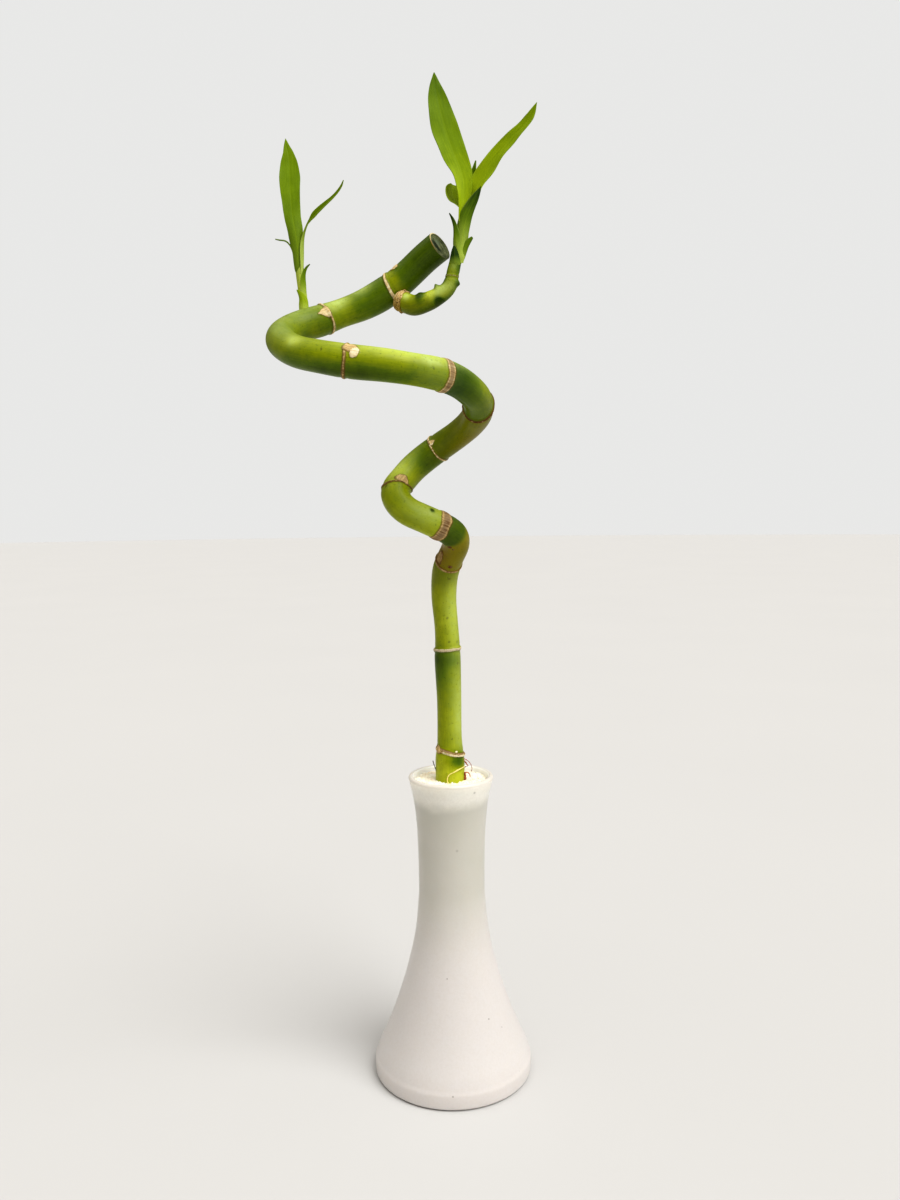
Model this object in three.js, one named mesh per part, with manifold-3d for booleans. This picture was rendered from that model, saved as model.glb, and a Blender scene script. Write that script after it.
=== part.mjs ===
// Lucky bamboo in its vase: one spiral-trained cane with two leafy shoots, held by the fine gravel that
// fills a trumpet-mouthed bud vase. Millimetres, +Z up, -Y to the front, with the origin at the centre of
// the vase's flat foot.
import * as THREE from "three";
import { mergeVertices } from "three/addons/utils/BufferGeometryUtils.js";
import Module from "manifold-3d";

const wasm = await Module();
wasm.setup();

// Vase and gravel
const VASE_HEIGHT = 150;
const VASE_SEGMENTS = 40;
const WALL_STEPS = 11;
const WALL = 2.6;
const FLOOR = 4;
const FOOT_RADIUS = 39.2;
const FOOT_EDGE = 1.3;
const BAND_HEIGHT = 7.2;
const GRAVEL_LEVEL = 147;
const GRAINS = 48;
const GOLDEN_ANGLE = 2.4;
// The outer wall from the band round the foot to the rim, as radius and height
const VASE_LINE = [
  [38.7, 8.6],
  [36.8, 13],
  [33.4, 20.5],
  [28.9, 32],
  [22.9, 51],
  [18.5, 70],
  [16.6, 88],
  [16.4, 98],
  [16.8, 120],
  [18.1, 135.5],
  [20.1, 145.3],
  [20.9, VASE_HEIGHT - WALL / 2],
];

// Space between pieces that touch
const CLEARANCE = 0.3;

// The cane from its foot in the gravel to its cut end: x, y, z and its diameter there
const CANE_SIDES = 14;
const CANE_STEP = 5.4;
const CANE_LINE = [
  // straight stem
  [-0.5, 0, 45, 13],
  [-0.5, 0, 153, 13.3],
  [-0.5, 0, 163, 12],
  [-0.5, 0, 170, 11.2],
  [-0.5, 0, 187, 11.6],
  [-1, 0, 209, 12.7],
  [-1, 0, 216, 11.9],
  [-1.5, 0, 225, 11.5],
  [-2.5, -1, 238, 12],
  [-2, -4, 248, 12.6],
  // first bend to the right, coming forward
  [-1, -7, 253, 12.9],
  [1.5, -11.5, 259, 12.3],
  [3.5, -15.5, 263.5, 12.6],
  [3, -19.5, 268, 13],
  // first pass across the front, to the left
  [-0.5, -23, 271, 13.1],
  [-5.5, -25.5, 273.5, 13],
  [-12, -27, 276.5, 12.9],
  [-18.5, -27, 279.5, 13],
  // first bend to the left, going back
  [-23, -25, 284, 13.2],
  [-24.2, -21.5, 288.8, 13.6],
  [-21, -18, 293.6, 13],
  // first pass behind, to the right
  [-16, -14.5, 299.5, 13.1],
  [-10, -13.5, 304.5, 13.2],
  [-3.5, -15.5, 309, 13],
  [4.5, -21.5, 314, 12.6],
  // second bend to the right, coming forward
  [10.5, -29.5, 318.5, 12.8],
  [13.5, -39, 322.5, 13.2],
  [13, -48, 326.5, 12.8],
  [9.5, -56.5, 329.5, 12.8],
  // second pass across the front, to the left
  [4, -63, 332.5, 13],
  [-3, -68, 334.5, 13.4],
  [-13, -71.5, 336, 12.9],
  [-25, -74, 337.5, 13.3],
  [-38, -73.5, 339, 13.7],
  [-52, -69, 342, 13.2],
  // second bend to the left, going back
  [-60.5, -64, 344.5, 13.1],
  [-66.5, -58, 348, 13],
  [-70, -50.5, 352.3, 13],
  [-68, -43.5, 356.6, 13.1],
  // last pass, to the right and up
  [-62, -37.5, 360.5, 13.3],
  [-55, -34, 363, 13.5],
  [-47, -31, 366.5, 12.1],
  [-37, -29, 370.5, 13],
  [-28.5, -28.5, 375, 13.7],
  [-19.5, -29.5, 381, 12.9],
  [-8.5, -33, 390, 12.7],
  [-2.5, -35.5, 394, 12.8],
];
// The cut end is hollowed by this much, inside a rim of this width
const CUT_DEPTH = 0.6;
const CUT_RIM = 1.1;

// Leaf scars that ring the cane: distance along it, half-width of the ridge and its height
const SCARS = [
  [114, 1.6, 0.45],
  [166.5, 0.8, 0.45],
  [208.5, 0.9, 0.45],
  [238.5, 1.7, 0.35],
  [275, 0.8, 0.35],
  [298, 0.8, 0.45],
  [333, 0.8, 0.8],
  [366, 1.3, 0.35],
  [411, 0.9, 0.35],
  [462, 1, 0.2],
  [482, 0.9, 0.45],
  [511, 0.9, 0.4],
];
const SCAR_REACH = 2.4;
// Dormant buds beside the scars: distance along the cane, the way each faces, length and width
const BUDS = [
  [117, [-0.8, -0.6, 0], 5, 4.4],
  [213.5, [-0.8, -0.6, 0.3], 6, 4],
  [277.8, [0.5, -0.8, 0.4], 4.6, 5],
  [300.8, [-0.5, -0.7, 0.6], 4.4, 3.6],
  [407.3, [0, -0.6, 0.8], 5, 4.2],
  [478.6, [-0.2, -0.8, 0.6], 5, 4.4],
];
const BUD_THICKNESS = 0.8;

// Leafy shoots. A stem's line gives x, y, z and its diameter, and a leaf's line x, y, z and its width.
const STEM_SIDES = 10;
const STEM_STEP = 2.5;
const BLADE_THICKNESS = 0.8;
const LEFT_STEM = [
  [-61.5, -37.4, 362.5, 3.2],
  [-61.6, -37, 366, 3.2],
  [-62.3, -36, 373, 3.4],
  [-63.2, -35.5, 380.5, 3.6],
  [-63.9, -35.1, 388, 3.7],
  [-64.4, -34.9, 395, 3.8],
  [-64.6, -34.8, 399, 2.4],
];
const LEFT_LEAVES = [
  // the large upright leaf
  {
    line: [
      [-64, -34.8, 387, 2.8],
      [-64.8, -34.5, 394, 4.2],
      [-65.7, -34, 401, 5.5],
      [-66.6, -33, 409, 7],
      [-67.3, -31.8, 417, 8.5],
      [-67.9, -30.2, 425, 9],
      [-68.3, -28.8, 432, 7.4],
      [-69, -27.9, 437, 4.4],
      [-69.7, -26.8, 442.5, 0.8],
    ],
    faces: [0.15, -1, 0.1],
    cup: [1.5, 0.25],
    rows: 13,
  },
  // the narrow leaf that twists to the right
  {
    line: [
      [-63.2, -35.3, 388, 2.6],
      [-62.4, -35.7, 393.5, 2],
      [-61.4, -36.6, 398.8, 1.4],
      [-58.7, -38.2, 403.6, 1.3],
      [-54, -40.4, 407.9, 2.2],
      [-50.6, -41.8, 410.5, 1.8],
      [-47, -43.2, 413.2, 1.2],
      [-43.6, -44.6, 416.9, 0.8],
      [-42.7, -45.4, 419, 0.8],
    ],
    faces: [0.3, -0.8, 0.5],
    cup: [1.2, 0.4],
    rows: 13,
  },
  // the thin leaf that curls to the left
  {
    line: [
      [-65.3, -35.1, 388.5, 1.6],
      [-67.1, -35.4, 394, 1.3],
      [-68.3, -36, 395.7, 1],
      [-69.6, -36.8, 396.4, 0.9],
      [-71.4, -37.9, 396.3, 1],
      [-73.2, -39, 396.5, 0.8],
    ],
    faces: [-0.3, -0.3, 1],
    cup: [1, 0.3],
    rows: 9,
  },
  // the sheath round the foot of the stem, open to the right
  {
    line: [
      [-62.9, -36.8, 368, 3.8],
      [-63.8, -36.3, 372, 4],
      [-64.8, -36, 375.2, 1.2],
    ],
    faces: [0.8, 0.5, 0],
    cup: [1.9, 1.6],
    rows: 5,
  },
  // the pointed sheath on the right, above it
  {
    line: [
      [-60.3, -36.4, 370, 3.9],
      [-60.7, -36, 376, 3.9],
      [-60.9, -35.8, 381, 2.8],
      [-60.5, -35.8, 384, 1.6],
      [-59.3, -36.2, 386.7, 0.8],
    ],
    faces: [-0.8, 0.5, 0],
    cup: [1.9, 0.8],
    rows: 9,
  },
];

const RIGHT_STEM = [
  [-20.4, -31.8, 373.6, 6.6],
  [-18.4, -33, 371.3, 8.2],
  [-16.7, -34, 370, 8.7],
  [-14.2, -35.2, 368.9, 8.8],
  [-11.4, -36.5, 369.1, 8.6],
  [-7.6, -38, 370.1, 8.2],
  [-4.1, -39.2, 371.4, 7.5],
  [0.7, -40.6, 374.5, 6.6],
  [2, -41, 376.8, 6.2],
  [2.8, -41.3, 380, 5.7],
  [4, -41.7, 385, 5.2],
  [5.7, -41.2, 392.3, 4.4],
  [7.1, -40.7, 398.7, 3.6],
  [8.9, -40, 405.5, 4],
  [9.7, -39.5, 411, 2.4],
];
// Swellings where old leaves sat on the thick part of the right stem: place and size
const RIGHT_KNUCKLES = [
  [-10, -38.4, 371.8, 4.2],
  [-5.8, -40.2, 369.6, 4.6],
  [-1.9, -40.2, 375, 4],
  [4.2, -41.3, 376.9, 3.4],
];
const RIGHT_LEAVES = [
  // the broad leaf that leans to the left
  {
    line: [
      [8.4, -40, 402, 4],
      [8.6, -39, 410, 5.6],
      [8.2, -38.2, 418, 6.8],
      [6.8, -37.4, 425.5, 9],
      [3.6, -36, 433.5, 11.2],
      [0.5, -34.3, 442.5, 12],
      [-1.9, -32.3, 452.4, 10.3],
      [-3.6, -30.4, 461.7, 6],
      [-4.3, -29, 468.9, 0.8],
    ],
    faces: [0.25, -1, 0.15],
    cup: [1.5, 0.3],
    rows: 14,
  },
  // the narrower leaf that arches to the right
  {
    line: [
      [9, -39.7, 403, 4],
      [11.2, -39.6, 410.4, 6],
      [14.6, -40.2, 419, 7.2],
      [19, -41.4, 425.6, 6.8],
      [23.2, -42.6, 430.6, 6.7],
      [28.4, -44, 436, 5.2],
      [33.2, -45.4, 440.1, 4.5],
      [35.8, -46.3, 443.2, 3.8],
      [38.6, -47.5, 448.4, 0.8],
    ],
    faces: [-0.3, -0.95, 0.3],
    cup: [1.5, 0.35],
    rows: 14,
  },
  // the newest leaf, still rolled
  {
    line: [
      [10.2, -38.8, 415, 2.8],
      [12.2, -38, 425.4, 2.5],
      [13.6, -37.7, 430.2, 0.8],
    ],
    faces: [0, -1, 0],
    cup: [1.6, 1.3],
    rows: 7,
  },
  // the dark folded sheath on the right
  {
    line: [
      [9, -41.2, 398.5, 4.4],
      [10.2, -41.4, 401.5, 4.8],
      [11.8, -41.4, 405, 5.4],
      [13.1, -41.2, 408.5, 5.4],
      [14.4, -41, 411.6, 4.6],
      [15.5, -40.8, 416.2, 0.9],
    ],
    faces: [-0.75, 0.6, 0.2],
    cup: [1.7, 1.3],
    rows: 9,
  },
  // the rounded leaf that curls away behind, on the left
  {
    line: [
      [8, -38, 407, 2.4],
      [5.6, -35.4, 411.4, 4.4],
      [3.9, -34.2, 414.1, 5.8],
      [3.3, -33.2, 416.5, 6.1],
      [3.2, -32.2, 418.7, 5.6],
      [3.5, -30.8, 421.4, 1.8],
    ],
    faces: [0.35, -1, 0.2],
    cup: [1.2, 0.5],
    rows: 10,
  },
  // the sheath with a narrow tip, on the left
  {
    line: [
      [2.9, -41.8, 388, 4.6],
      [3.8, -41.4, 392.5, 4.6],
      [4.2, -41.2, 398, 3.6],
      [3.8, -41.3, 401.5, 2.4],
      [1.9, -41.4, 405.8, 0.8],
    ],
    faces: [0.85, 0.45, 0],
    cup: [1.8, 0.7],
    rows: 10,
  },
  // the short blunt sheath on the right
  {
    line: [
      [6.4, -41.6, 383.5, 4.6],
      [7.4, -41.8, 387, 4],
      [9.6, -42, 391, 3.2],
      [11.2, -42.2, 393.8, 2.6],
      [11.7, -42.4, 395.6, 1.2],
    ],
    faces: [-0.85, 0.35, 0.5],
    cup: [1.8, 1],
    rows: 9,
  },
  // the dark sheath tip that clasps the stem in front
  {
    line: [
      [3, -44.4, 381, 5.4],
      [3.4, -44.5, 385, 5.2],
      [3.9, -44.5, 389, 3.4],
      [3.8, -44.2, 391.8, 0.9],
    ],
    faces: [0.15, 1, 0],
    cup: [1.9, 1.2],
    rows: 8,
  },
];

// The dry collar round the foot of the right shoot: its centre, the way it faces and its section
const COLLAR_CENTRE = [-18.8, -33.2, 371.8];
const COLLAR_FACES = [0.63, -0.35, -0.7];
const COLLAR_RADIUS = 4.5;
const COLLAR_WIDTH = 2.8;
const COLLAR_THICKNESS = 2.2;
const COLLAR_SCALES = 9;

// Roots at the lowest leaf scar, each a bent thread: x, y, z and its diameter
const ROOT_SIDES = 8;
const ROOT_STEP = 1.3;
const FRONT_ROOT = [
  [7.7, -2.6, 154.5, 0.9],
  [5.9, -5.5, 154.2, 1],
  [2.9, -7.4, 152.9, 1],
  [-0.4, -7.9, 151.1, 0.9],
  [-1.7, -7.9, 148.9, 0.9],
  [-1.4, -8, 146.4, 0.9],
  [-1.4, -8.1, 144.6, 0.9],
];
const TUFT_ROOTS = [
  [
    [7.2, -0.6, 157.4, 0.9],
    [9, -0.8, 156.2, 0.9],
    [10.3, -0.8, 153.6, 0.9],
    [10.2, -0.8, 150.9, 0.9],
    [8.6, -0.8, 149.6, 1],
    [7.9, -0.9, 149.4, 1.2],
  ],
  [
    [7.7, -1, 150.6, 1.2],
    [8.4, -1.1, 149.2, 1.5],
    [8.1, -1.2, 147.2, 1.4],
    [7.9, -1.2, 145, 1.2],
  ],
];
const LEFT_ROOT = [
  [-9.4, -1.4, 157.6, 0.8],
  [-8.8, -1.5, 154.6, 0.8],
  [-8, -1.6, 151.4, 0.8],
  [-7.9, -1.8, 148, 0.8],
  [-7.9, -1.8, 145, 0.8],
];

// A closed geometry as a solid, with its shared corners merged and its empty triangles dropped
function solidOf(geometry) {
  const bare = new THREE.BufferGeometry();
  const loose = geometry.index ? geometry.toNonIndexed() : geometry;
  bare.setAttribute("position", loose.getAttribute("position"));
  const merged = mergeVertices(bare, 1e-4);
  const corners = [];
  for (let i = 0; i < merged.index.count; i += 3) {
    const [a, b, c] = [0, 1, 2].map((k) => merged.index.getX(i + k));
    if (a !== b && b !== c && c !== a) corners.push(a, b, c);
  }
  return new wasm.Manifold(
    new wasm.Mesh({
      numProp: 3,
      vertProperties: merged.getAttribute("position").array,
      triVerts: new Uint32Array(corners),
    }),
  );
}

// A solid as the geometry of a mesh
function geometryOf(solid) {
  const made = solid.getMesh();
  const geometry = new THREE.BufferGeometry();
  geometry.setAttribute(
    "position",
    new THREE.BufferAttribute(made.vertProperties, 3),
  );
  geometry.setIndex(new THREE.BufferAttribute(made.triVerts, 1));
  geometry.computeVertexNormals();
  return geometry;
}

// Solids fused into one, with any space that they seal between them filled
function join(solids) {
  const whole = solids.reduce((fused, next) => fused.add(next));
  const filled = whole.decompose().filter((body) => body.volume() > 0);
  return filled.reduce((fused, next) => fused.add(next));
}

// A smooth line through rows of x, y, z and one measure, such as a diameter, that changes along it
class MeasuredLine {
  constructor(rows) {
    const points = rows.map(([x, y, z]) => new THREE.Vector3(x, y, z));
    this.measures = rows.map((row) => row[3]);
    this.curve = new THREE.CatmullRomCurve3(points, false, "centripetal");
    this.curve.arcLengthDivisions = rows.length * 16;
    this.length = this.curve.getLength();
  }

  // Place, direction and measure at a distance from the start
  at(distance) {
    const t = this.curve.getUtoTmapping(distance / this.length);
    const position = t * (this.measures.length - 1);
    const row = Math.min(Math.floor(position), this.measures.length - 2);
    const share = THREE.MathUtils.smoothstep(position - row, 0, 1);
    return {
      centre: this.curve.getPoint(t),
      ahead: this.curve.getTangent(t),
      measure: THREE.MathUtils.lerp(
        this.measures[row],
        this.measures[row + 1],
        share,
      ),
    };
  }

  // Distances from end to end, no further apart than step
  distances(step) {
    const count = Math.max(2, Math.ceil(this.length / step));
    return Array.from({ length: count + 1 }, (_, i) => (i / count) * this.length);
  }
}

// Rings of corners joined into a closed skin, with a point in the middle of each end
function skin(rings, first, last) {
  const sides = rings[0].length;
  const corners = [...rings.flat(), first, last];
  const index = [];
  for (let side = 0; side < sides; side += 1) {
    const next = (side + 1) % sides;
    for (let ring = 0; ring + 1 < rings.length; ring += 1) {
      const [a, b] = [ring * sides + side, ring * sides + next];
      index.push(a, b, b + sides, a, b + sides, a + sides);
    }
    const end = (rings.length - 1) * sides;
    index.push(corners.length - 2, next, side);
    index.push(corners.length - 1, end + side, end + next);
  }
  return new THREE.BufferGeometry().setFromPoints(corners).setIndex(index);
}

// A round stem along a line. Its side vectors turn as little as possible from one ring to the next.
function stemAlong(line, distances, sides, radiusAt, cutEnd) {
  let side = new THREE.Vector3(0.3, -1, 0.2);
  const rings = distances.map((distance) => {
    const { centre, ahead, measure } = line.at(distance);
    side = side.clone().addScaledVector(ahead, -side.dot(ahead)).normalize();
    const across = new THREE.Vector3().crossVectors(ahead, side);
    const radius = radiusAt(measure / 2, distance);
    return Array.from({ length: sides }, (_, i) => {
      const turn = (i / sides) * 2 * Math.PI;
      return centre
        .clone()
        .addScaledVector(side, radius * Math.cos(turn))
        .addScaledVector(across, radius * Math.sin(turn));
    });
  });
  const start = line.at(0).centre;
  const { centre: end, ahead, measure } = line.at(line.length);
  if (cutEnd) {
    const inset = CUT_RIM / (measure / 2);
    const rim = rings[rings.length - 1];
    const hollow = rim.map((corner) =>
      corner.clone().lerp(end, inset).addScaledVector(ahead, -CUT_DEPTH),
    );
    rings.push(hollow);
    end.addScaledVector(ahead, -CUT_DEPTH);
  }
  return solidOf(skin(rings, start, end));
}

// A leaf, thick enough to stand as a solid. Its section is an arc that opens from a clasping base to an
// almost flat tip, and both faces are split into the same triangles.
function leafAlong({ line: rows, faces, cup, rows: count }) {
  const columns = 4;
  const line = new MeasuredLine(rows);
  const upper = [];
  const lower = [];
  for (let row = 0; row <= count; row += 1) {
    const share = row / count;
    const { centre, ahead, measure } = line.at(share * line.length);
    const face = new THREE.Vector3(...faces);
    face.addScaledVector(ahead, -face.dot(ahead)).normalize();
    const across = new THREE.Vector3().crossVectors(ahead, face);
    const bend = THREE.MathUtils.lerp(cup[1], cup[0], (1 - share) ** 2);
    const radius = measure / 2 / Math.sin(Math.min(bend, Math.PI / 2));
    for (let column = 0; column <= columns; column += 1) {
      const turn = bend * ((2 * column) / columns - 1);
      const outward = across
        .clone()
        .multiplyScalar(Math.sin(turn))
        .addScaledVector(face, -Math.cos(turn));
      const middle = centre.clone().addScaledVector(face, radius);
      const half = BLADE_THICKNESS / 2;
      upper.push(middle.clone().addScaledVector(outward, radius - half));
      lower.push(middle.clone().addScaledVector(outward, radius + half));
    }
  }
  const index = [];
  const wide = columns + 1;
  const under = upper.length;
  const quad = (a, b, c, d) => index.push(a, b, c, a, c, d);
  for (let row = 0; row < count; row += 1) {
    for (let column = 0; column < columns; column += 1) {
      const a = row * wide + column;
      const [b, c, d] = [a + 1, a + wide + 1, a + wide];
      index.push(a, b, c, a, c, d);
      index.push(under + a, under + c, under + b, under + a, under + d, under + c);
    }
    const left = row * wide;
    const right = left + columns;
    quad(left, left + wide, under + left + wide, under + left);
    quad(right, under + right, under + right + wide, right + wide);
  }
  const tip = count * wide;
  for (let column = 0; column < columns; column += 1) {
    quad(column, under + column, under + column + 1, column + 1);
    quad(
      tip + column,
      tip + column + 1,
      under + tip + column + 1,
      under + tip + column,
    );
  }
  return solidOf(
    new THREE.BufferGeometry().setFromPoints([...upper, ...lower]).setIndex(index),
  );
}

// A profile of radius and height, turned about the upright axis
function turned(profile) {
  const points = profile.map(([radius, height]) => new THREE.Vector2(radius, height));
  return new THREE.LatheGeometry(points, VASE_SEGMENTS).rotateX(Math.PI / 2);
}

// The vase's wall line with a little more between its points, moved inwards by an offset
function wallLine(offset, lowest, highest) {
  const curve = new THREE.SplineCurve(
    VASE_LINE.map(([radius, height]) => new THREE.Vector2(radius, height)),
  );
  return curve
    .getPoints(WALL_STEPS)
    .filter(({ y }) => y > lowest && y < highest)
    .map(({ x, y }) => [x - offset, y]);
}

// An arc of a round edge as radius and height, between two angles
function arc(radius, height, size, from, to, steps) {
  return Array.from({ length: steps + 1 }, (_, i) => {
    const turn = THREE.MathUtils.lerp(from, to, i / steps);
    return [radius + size * Math.cos(turn), height + size * Math.sin(turn)];
  });
}

function vaseSolid() {
  const rimHeight = VASE_HEIGHT - WALL / 2;
  const rimRadius = VASE_LINE[VASE_LINE.length - 1][0] - WALL / 2;
  const outside = wallLine(0, BAND_HEIGHT, rimHeight - 1);
  const inside = wallLine(WALL, FLOOR + 4, rimHeight - 1).reverse();
  const floorRadius = FOOT_RADIUS - WALL - 3;
  return solidOf(
    turned([
      [0, 0],
      ...arc(FOOT_RADIUS - FOOT_EDGE, FOOT_EDGE, FOOT_EDGE, -Math.PI / 2, 0, 3),
      [FOOT_RADIUS, BAND_HEIGHT - 1.2],
      ...outside,
      ...arc(rimRadius, rimHeight, WALL / 2, 0, Math.PI, 6),
      ...inside,
      [floorRadius + 2.4, FLOOR + 1.6],
      [floorRadius, FLOOR],
      [0, FLOOR],
    ]),
  );
}

// A number from 0 to 1 that looks random and is the same each time for the same pair
function scatter(a, b) {
  const value = Math.sin(12.9898 * a + 78.233 * b) * 43758.5453;
  return value - Math.floor(value);
}

// Grains that lie half sunk in the gravel's top
function grainSolids() {
  return Array.from({ length: GRAINS }, (_, i) => {
    const turn = i * GOLDEN_ANGLE;
    const reach = THREE.MathUtils.lerp(9, 16.4, Math.sqrt((i + 0.5) / GRAINS));
    const size = THREE.MathUtils.lerp(0.7, 1.2, scatter(i, 1));
    const grain = new THREE.IcosahedronGeometry(size, 0);
    grain.scale(1, 0.8, 0.7).rotateZ(6 * scatter(i, 2));
    grain.translate(reach * Math.cos(turn), reach * Math.sin(turn), GRAVEL_LEVEL - 0.1);
    return solidOf(grain);
  });
}

function gravelSolid(holes) {
  const floor = FLOOR + CLEARANCE;
  const gap = WALL + CLEARANCE;
  const floorRadius = FOOT_RADIUS - gap - 3;
  const body = turned([
    [0, floor],
    [floorRadius, floor],
    [floorRadius + 2.2, floor + 1.8],
    ...wallLine(gap, floor + 4, GRAVEL_LEVEL - 2),
    [17, GRAVEL_LEVEL],
    [0, GRAVEL_LEVEL],
  ]);
  return join([solidOf(body), ...grainSolids()]).subtract(join(holes));
}

const caneLine = new MeasuredLine(CANE_LINE);

// Rings of the cane lie a step apart, and closer at a leaf scar
function caneDistances() {
  const plain = caneLine
    .distances(CANE_STEP)
    .filter((d) => SCARS.every(([along]) => Math.abs(along - d) > SCAR_REACH));
  const fine = SCARS.flatMap(([along, width]) =>
    [-1.5, -0.6, 0.6, 1.5].map((share) => along + share * width),
  );
  return [...plain, ...fine].sort((a, b) => a - b);
}

// The ridge that a leaf scar raises on the cane
function scarRidge(distance) {
  return SCARS.reduce(
    (sum, [along, width, height]) =>
      sum + height * Math.exp(-(((distance - along) / width) ** 2)),
    0,
  );
}

function caneSkin(extra, cutEnd) {
  const radiusAt = (radius, distance) => radius + scarRidge(distance) + extra;
  return stemAlong(caneLine, caneDistances(), CANE_SIDES, radiusAt, cutEnd);
}

// A dormant bud: a flat scale that lies on the cane above its scar
function budSolid([along, faces, length, width]) {
  const { centre, ahead, measure } = caneLine.at(along);
  const outward = new THREE.Vector3(...faces);
  outward.addScaledVector(ahead, -outward.dot(ahead)).normalize();
  const across = new THREE.Vector3().crossVectors(ahead, outward);
  const place = new THREE.Matrix4().makeBasis(across, ahead, outward);
  place.setPosition(centre.addScaledVector(outward, measure / 2 - 0.1));
  const scale = new THREE.IcosahedronGeometry(1, 1);
  scale.scale(width / 2, length / 2, BUD_THICKNESS);
  return solidOf(scale.applyMatrix4(place));
}

function stemSolid(rows, extra) {
  const line = new MeasuredLine(rows);
  const radiusAt = (radius) => radius + extra;
  return stemAlong(line, line.distances(STEM_STEP), STEM_SIDES, radiusAt, false);
}

function knuckleSolid([x, y, z, size]) {
  const lump = new THREE.IcosahedronGeometry(size / 2, 1);
  return solidOf(lump.translate(x, y, z));
}

function rootSolid(rows, extra) {
  const line = new MeasuredLine(rows);
  const radiusAt = (radius) => radius + extra;
  return stemAlong(line, line.distances(ROOT_STEP), ROOT_SIDES, radiusAt, false);
}

// The collar: a ring of short scales, thinner and thicker in turn
function collarSolid() {
  const section = arc(COLLAR_RADIUS, 0, 0.5, 0, 2 * Math.PI, 8).slice(0, -1);
  const points = [...section, section[0]].map(
    ([radius, height]) =>
      new THREE.Vector2(
        COLLAR_RADIUS + (radius - COLLAR_RADIUS) * COLLAR_THICKNESS,
        height * COLLAR_WIDTH,
      ),
  );
  const ring = new THREE.LatheGeometry(points, 2 * COLLAR_SCALES);
  const corners = ring.getAttribute("position");
  for (let i = 0; i < corners.count; i += 1) {
    const [x, y, z] = [corners.getX(i), corners.getY(i), corners.getZ(i)];
    const turn = Math.atan2(z, x);
    const ragged = 1 + 0.06 * Math.cos(COLLAR_SCALES * turn);
    corners.setXYZ(i, x * ragged, y * (1.1 - 0.25 * Math.cos(COLLAR_SCALES * turn)), z * ragged);
  }
  const upright = new THREE.Vector3(0, 1, 0);
  const faces = new THREE.Vector3(...COLLAR_FACES).normalize();
  ring.applyQuaternion(new THREE.Quaternion().setFromUnitVectors(upright, faces));
  return solidOf(ring.translate(...COLLAR_CENTRE));
}

function named(name, solid, colour, roughness) {
  const material = new THREE.MeshStandardMaterial({ color: colour, roughness, metalness: 0 });
  const mesh = new THREE.Mesh(geometryOf(solid), material);
  mesh.name = name;
  return mesh;
}

const caneSpace = caneSkin(CLEARANCE, false);
const rightStemSpace = stemSolid(RIGHT_STEM, CLEARANCE);
const tuft = join(TUFT_ROOTS.map((rows) => rootSolid(rows, 0)));
const rootSpaces = [FRONT_ROOT, ...TUFT_ROOTS, LEFT_ROOT].map((rows) =>
  rootSolid(rows, CLEARANCE),
);
const leftShoot = join([stemSolid(LEFT_STEM, 0), ...LEFT_LEAVES.map(leafAlong)]);
const rightShoot = join([
  stemSolid(RIGHT_STEM, 0),
  ...RIGHT_KNUCKLES.map(knuckleSolid),
  ...RIGHT_LEAVES.map(leafAlong),
]);

const plant = new THREE.Group();
plant.add(
  named("vase", vaseSolid(), "#ece8e2", 0.35),
  named("gravel", gravelSolid([caneSpace, ...rootSpaces]), "#f1ecd8", 0.9),
  named("cane", join([caneSkin(0, true), ...BUDS.map(budSolid)]), "#6f8f1c", 0.35),
  named("shoot_left", leftShoot.subtract(caneSpace), "#7fa01c", 0.4),
  named("shoot_right", rightShoot.subtract(caneSpace), "#7c9c1a", 0.4),
  named("collar_right", collarSolid().subtract(caneSpace).subtract(rightStemSpace), "#a5794a", 0.8),
  named("root_front", rootSolid(FRONT_ROOT, 0).subtract(caneSpace), "#dcc545", 0.6),
  named("root_tuft", tuft.subtract(caneSpace), "#b4562a", 0.7),
  named("root_left", rootSolid(LEFT_ROOT, 0).subtract(caneSpace), "#8d8a7c", 0.7),
);

export default plant;
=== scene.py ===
"""The finished looks of a lucky bamboo in its frosted vase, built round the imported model.

Tables are in millimetres with +Z up and -Y to the front, and every mesh is made in metres.
"""

import math
import random

import bpy
import numpy as np
from mathutils import Euler, Matrix, Vector


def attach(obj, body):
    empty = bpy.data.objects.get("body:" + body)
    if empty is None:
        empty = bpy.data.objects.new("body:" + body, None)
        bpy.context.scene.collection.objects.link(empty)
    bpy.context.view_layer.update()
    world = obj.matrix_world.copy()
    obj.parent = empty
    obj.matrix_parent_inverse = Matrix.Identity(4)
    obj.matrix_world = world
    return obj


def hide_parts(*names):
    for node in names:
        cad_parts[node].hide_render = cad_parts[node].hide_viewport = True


bl_info = {
    "name": "Lucky bamboo in a frosted vase",
    "version": (1, 0, 0),
    "blender": (4, 5, 0),
    "location": "View3D > Sidebar > Bamboo",
    "description": "Models the cane, its leafy shoots, the vase and the gravel round the packed model",
    "category": "Object",
}

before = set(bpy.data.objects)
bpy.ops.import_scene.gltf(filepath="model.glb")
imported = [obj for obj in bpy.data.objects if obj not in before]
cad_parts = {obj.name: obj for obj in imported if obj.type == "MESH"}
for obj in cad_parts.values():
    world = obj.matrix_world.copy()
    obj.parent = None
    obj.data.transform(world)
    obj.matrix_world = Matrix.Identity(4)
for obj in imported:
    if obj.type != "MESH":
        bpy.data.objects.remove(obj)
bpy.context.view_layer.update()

MM = 0.001
BODY = "root"

# Vase and gravel
VASE_HEIGHT = 150.0
WALL = 2.6
FLOOR = 4.0
FOOT_RADIUS = 39.2
FOOT_EDGE = 1.3
GRAVEL_LEVEL = 147.0
CLEARANCE = 0.3
# Loose grains lie between these two distances from the axis
GRAINS_FROM = 6.2
GRAINS_TO = 17.7
GRAIN_SEED = 11
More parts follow.
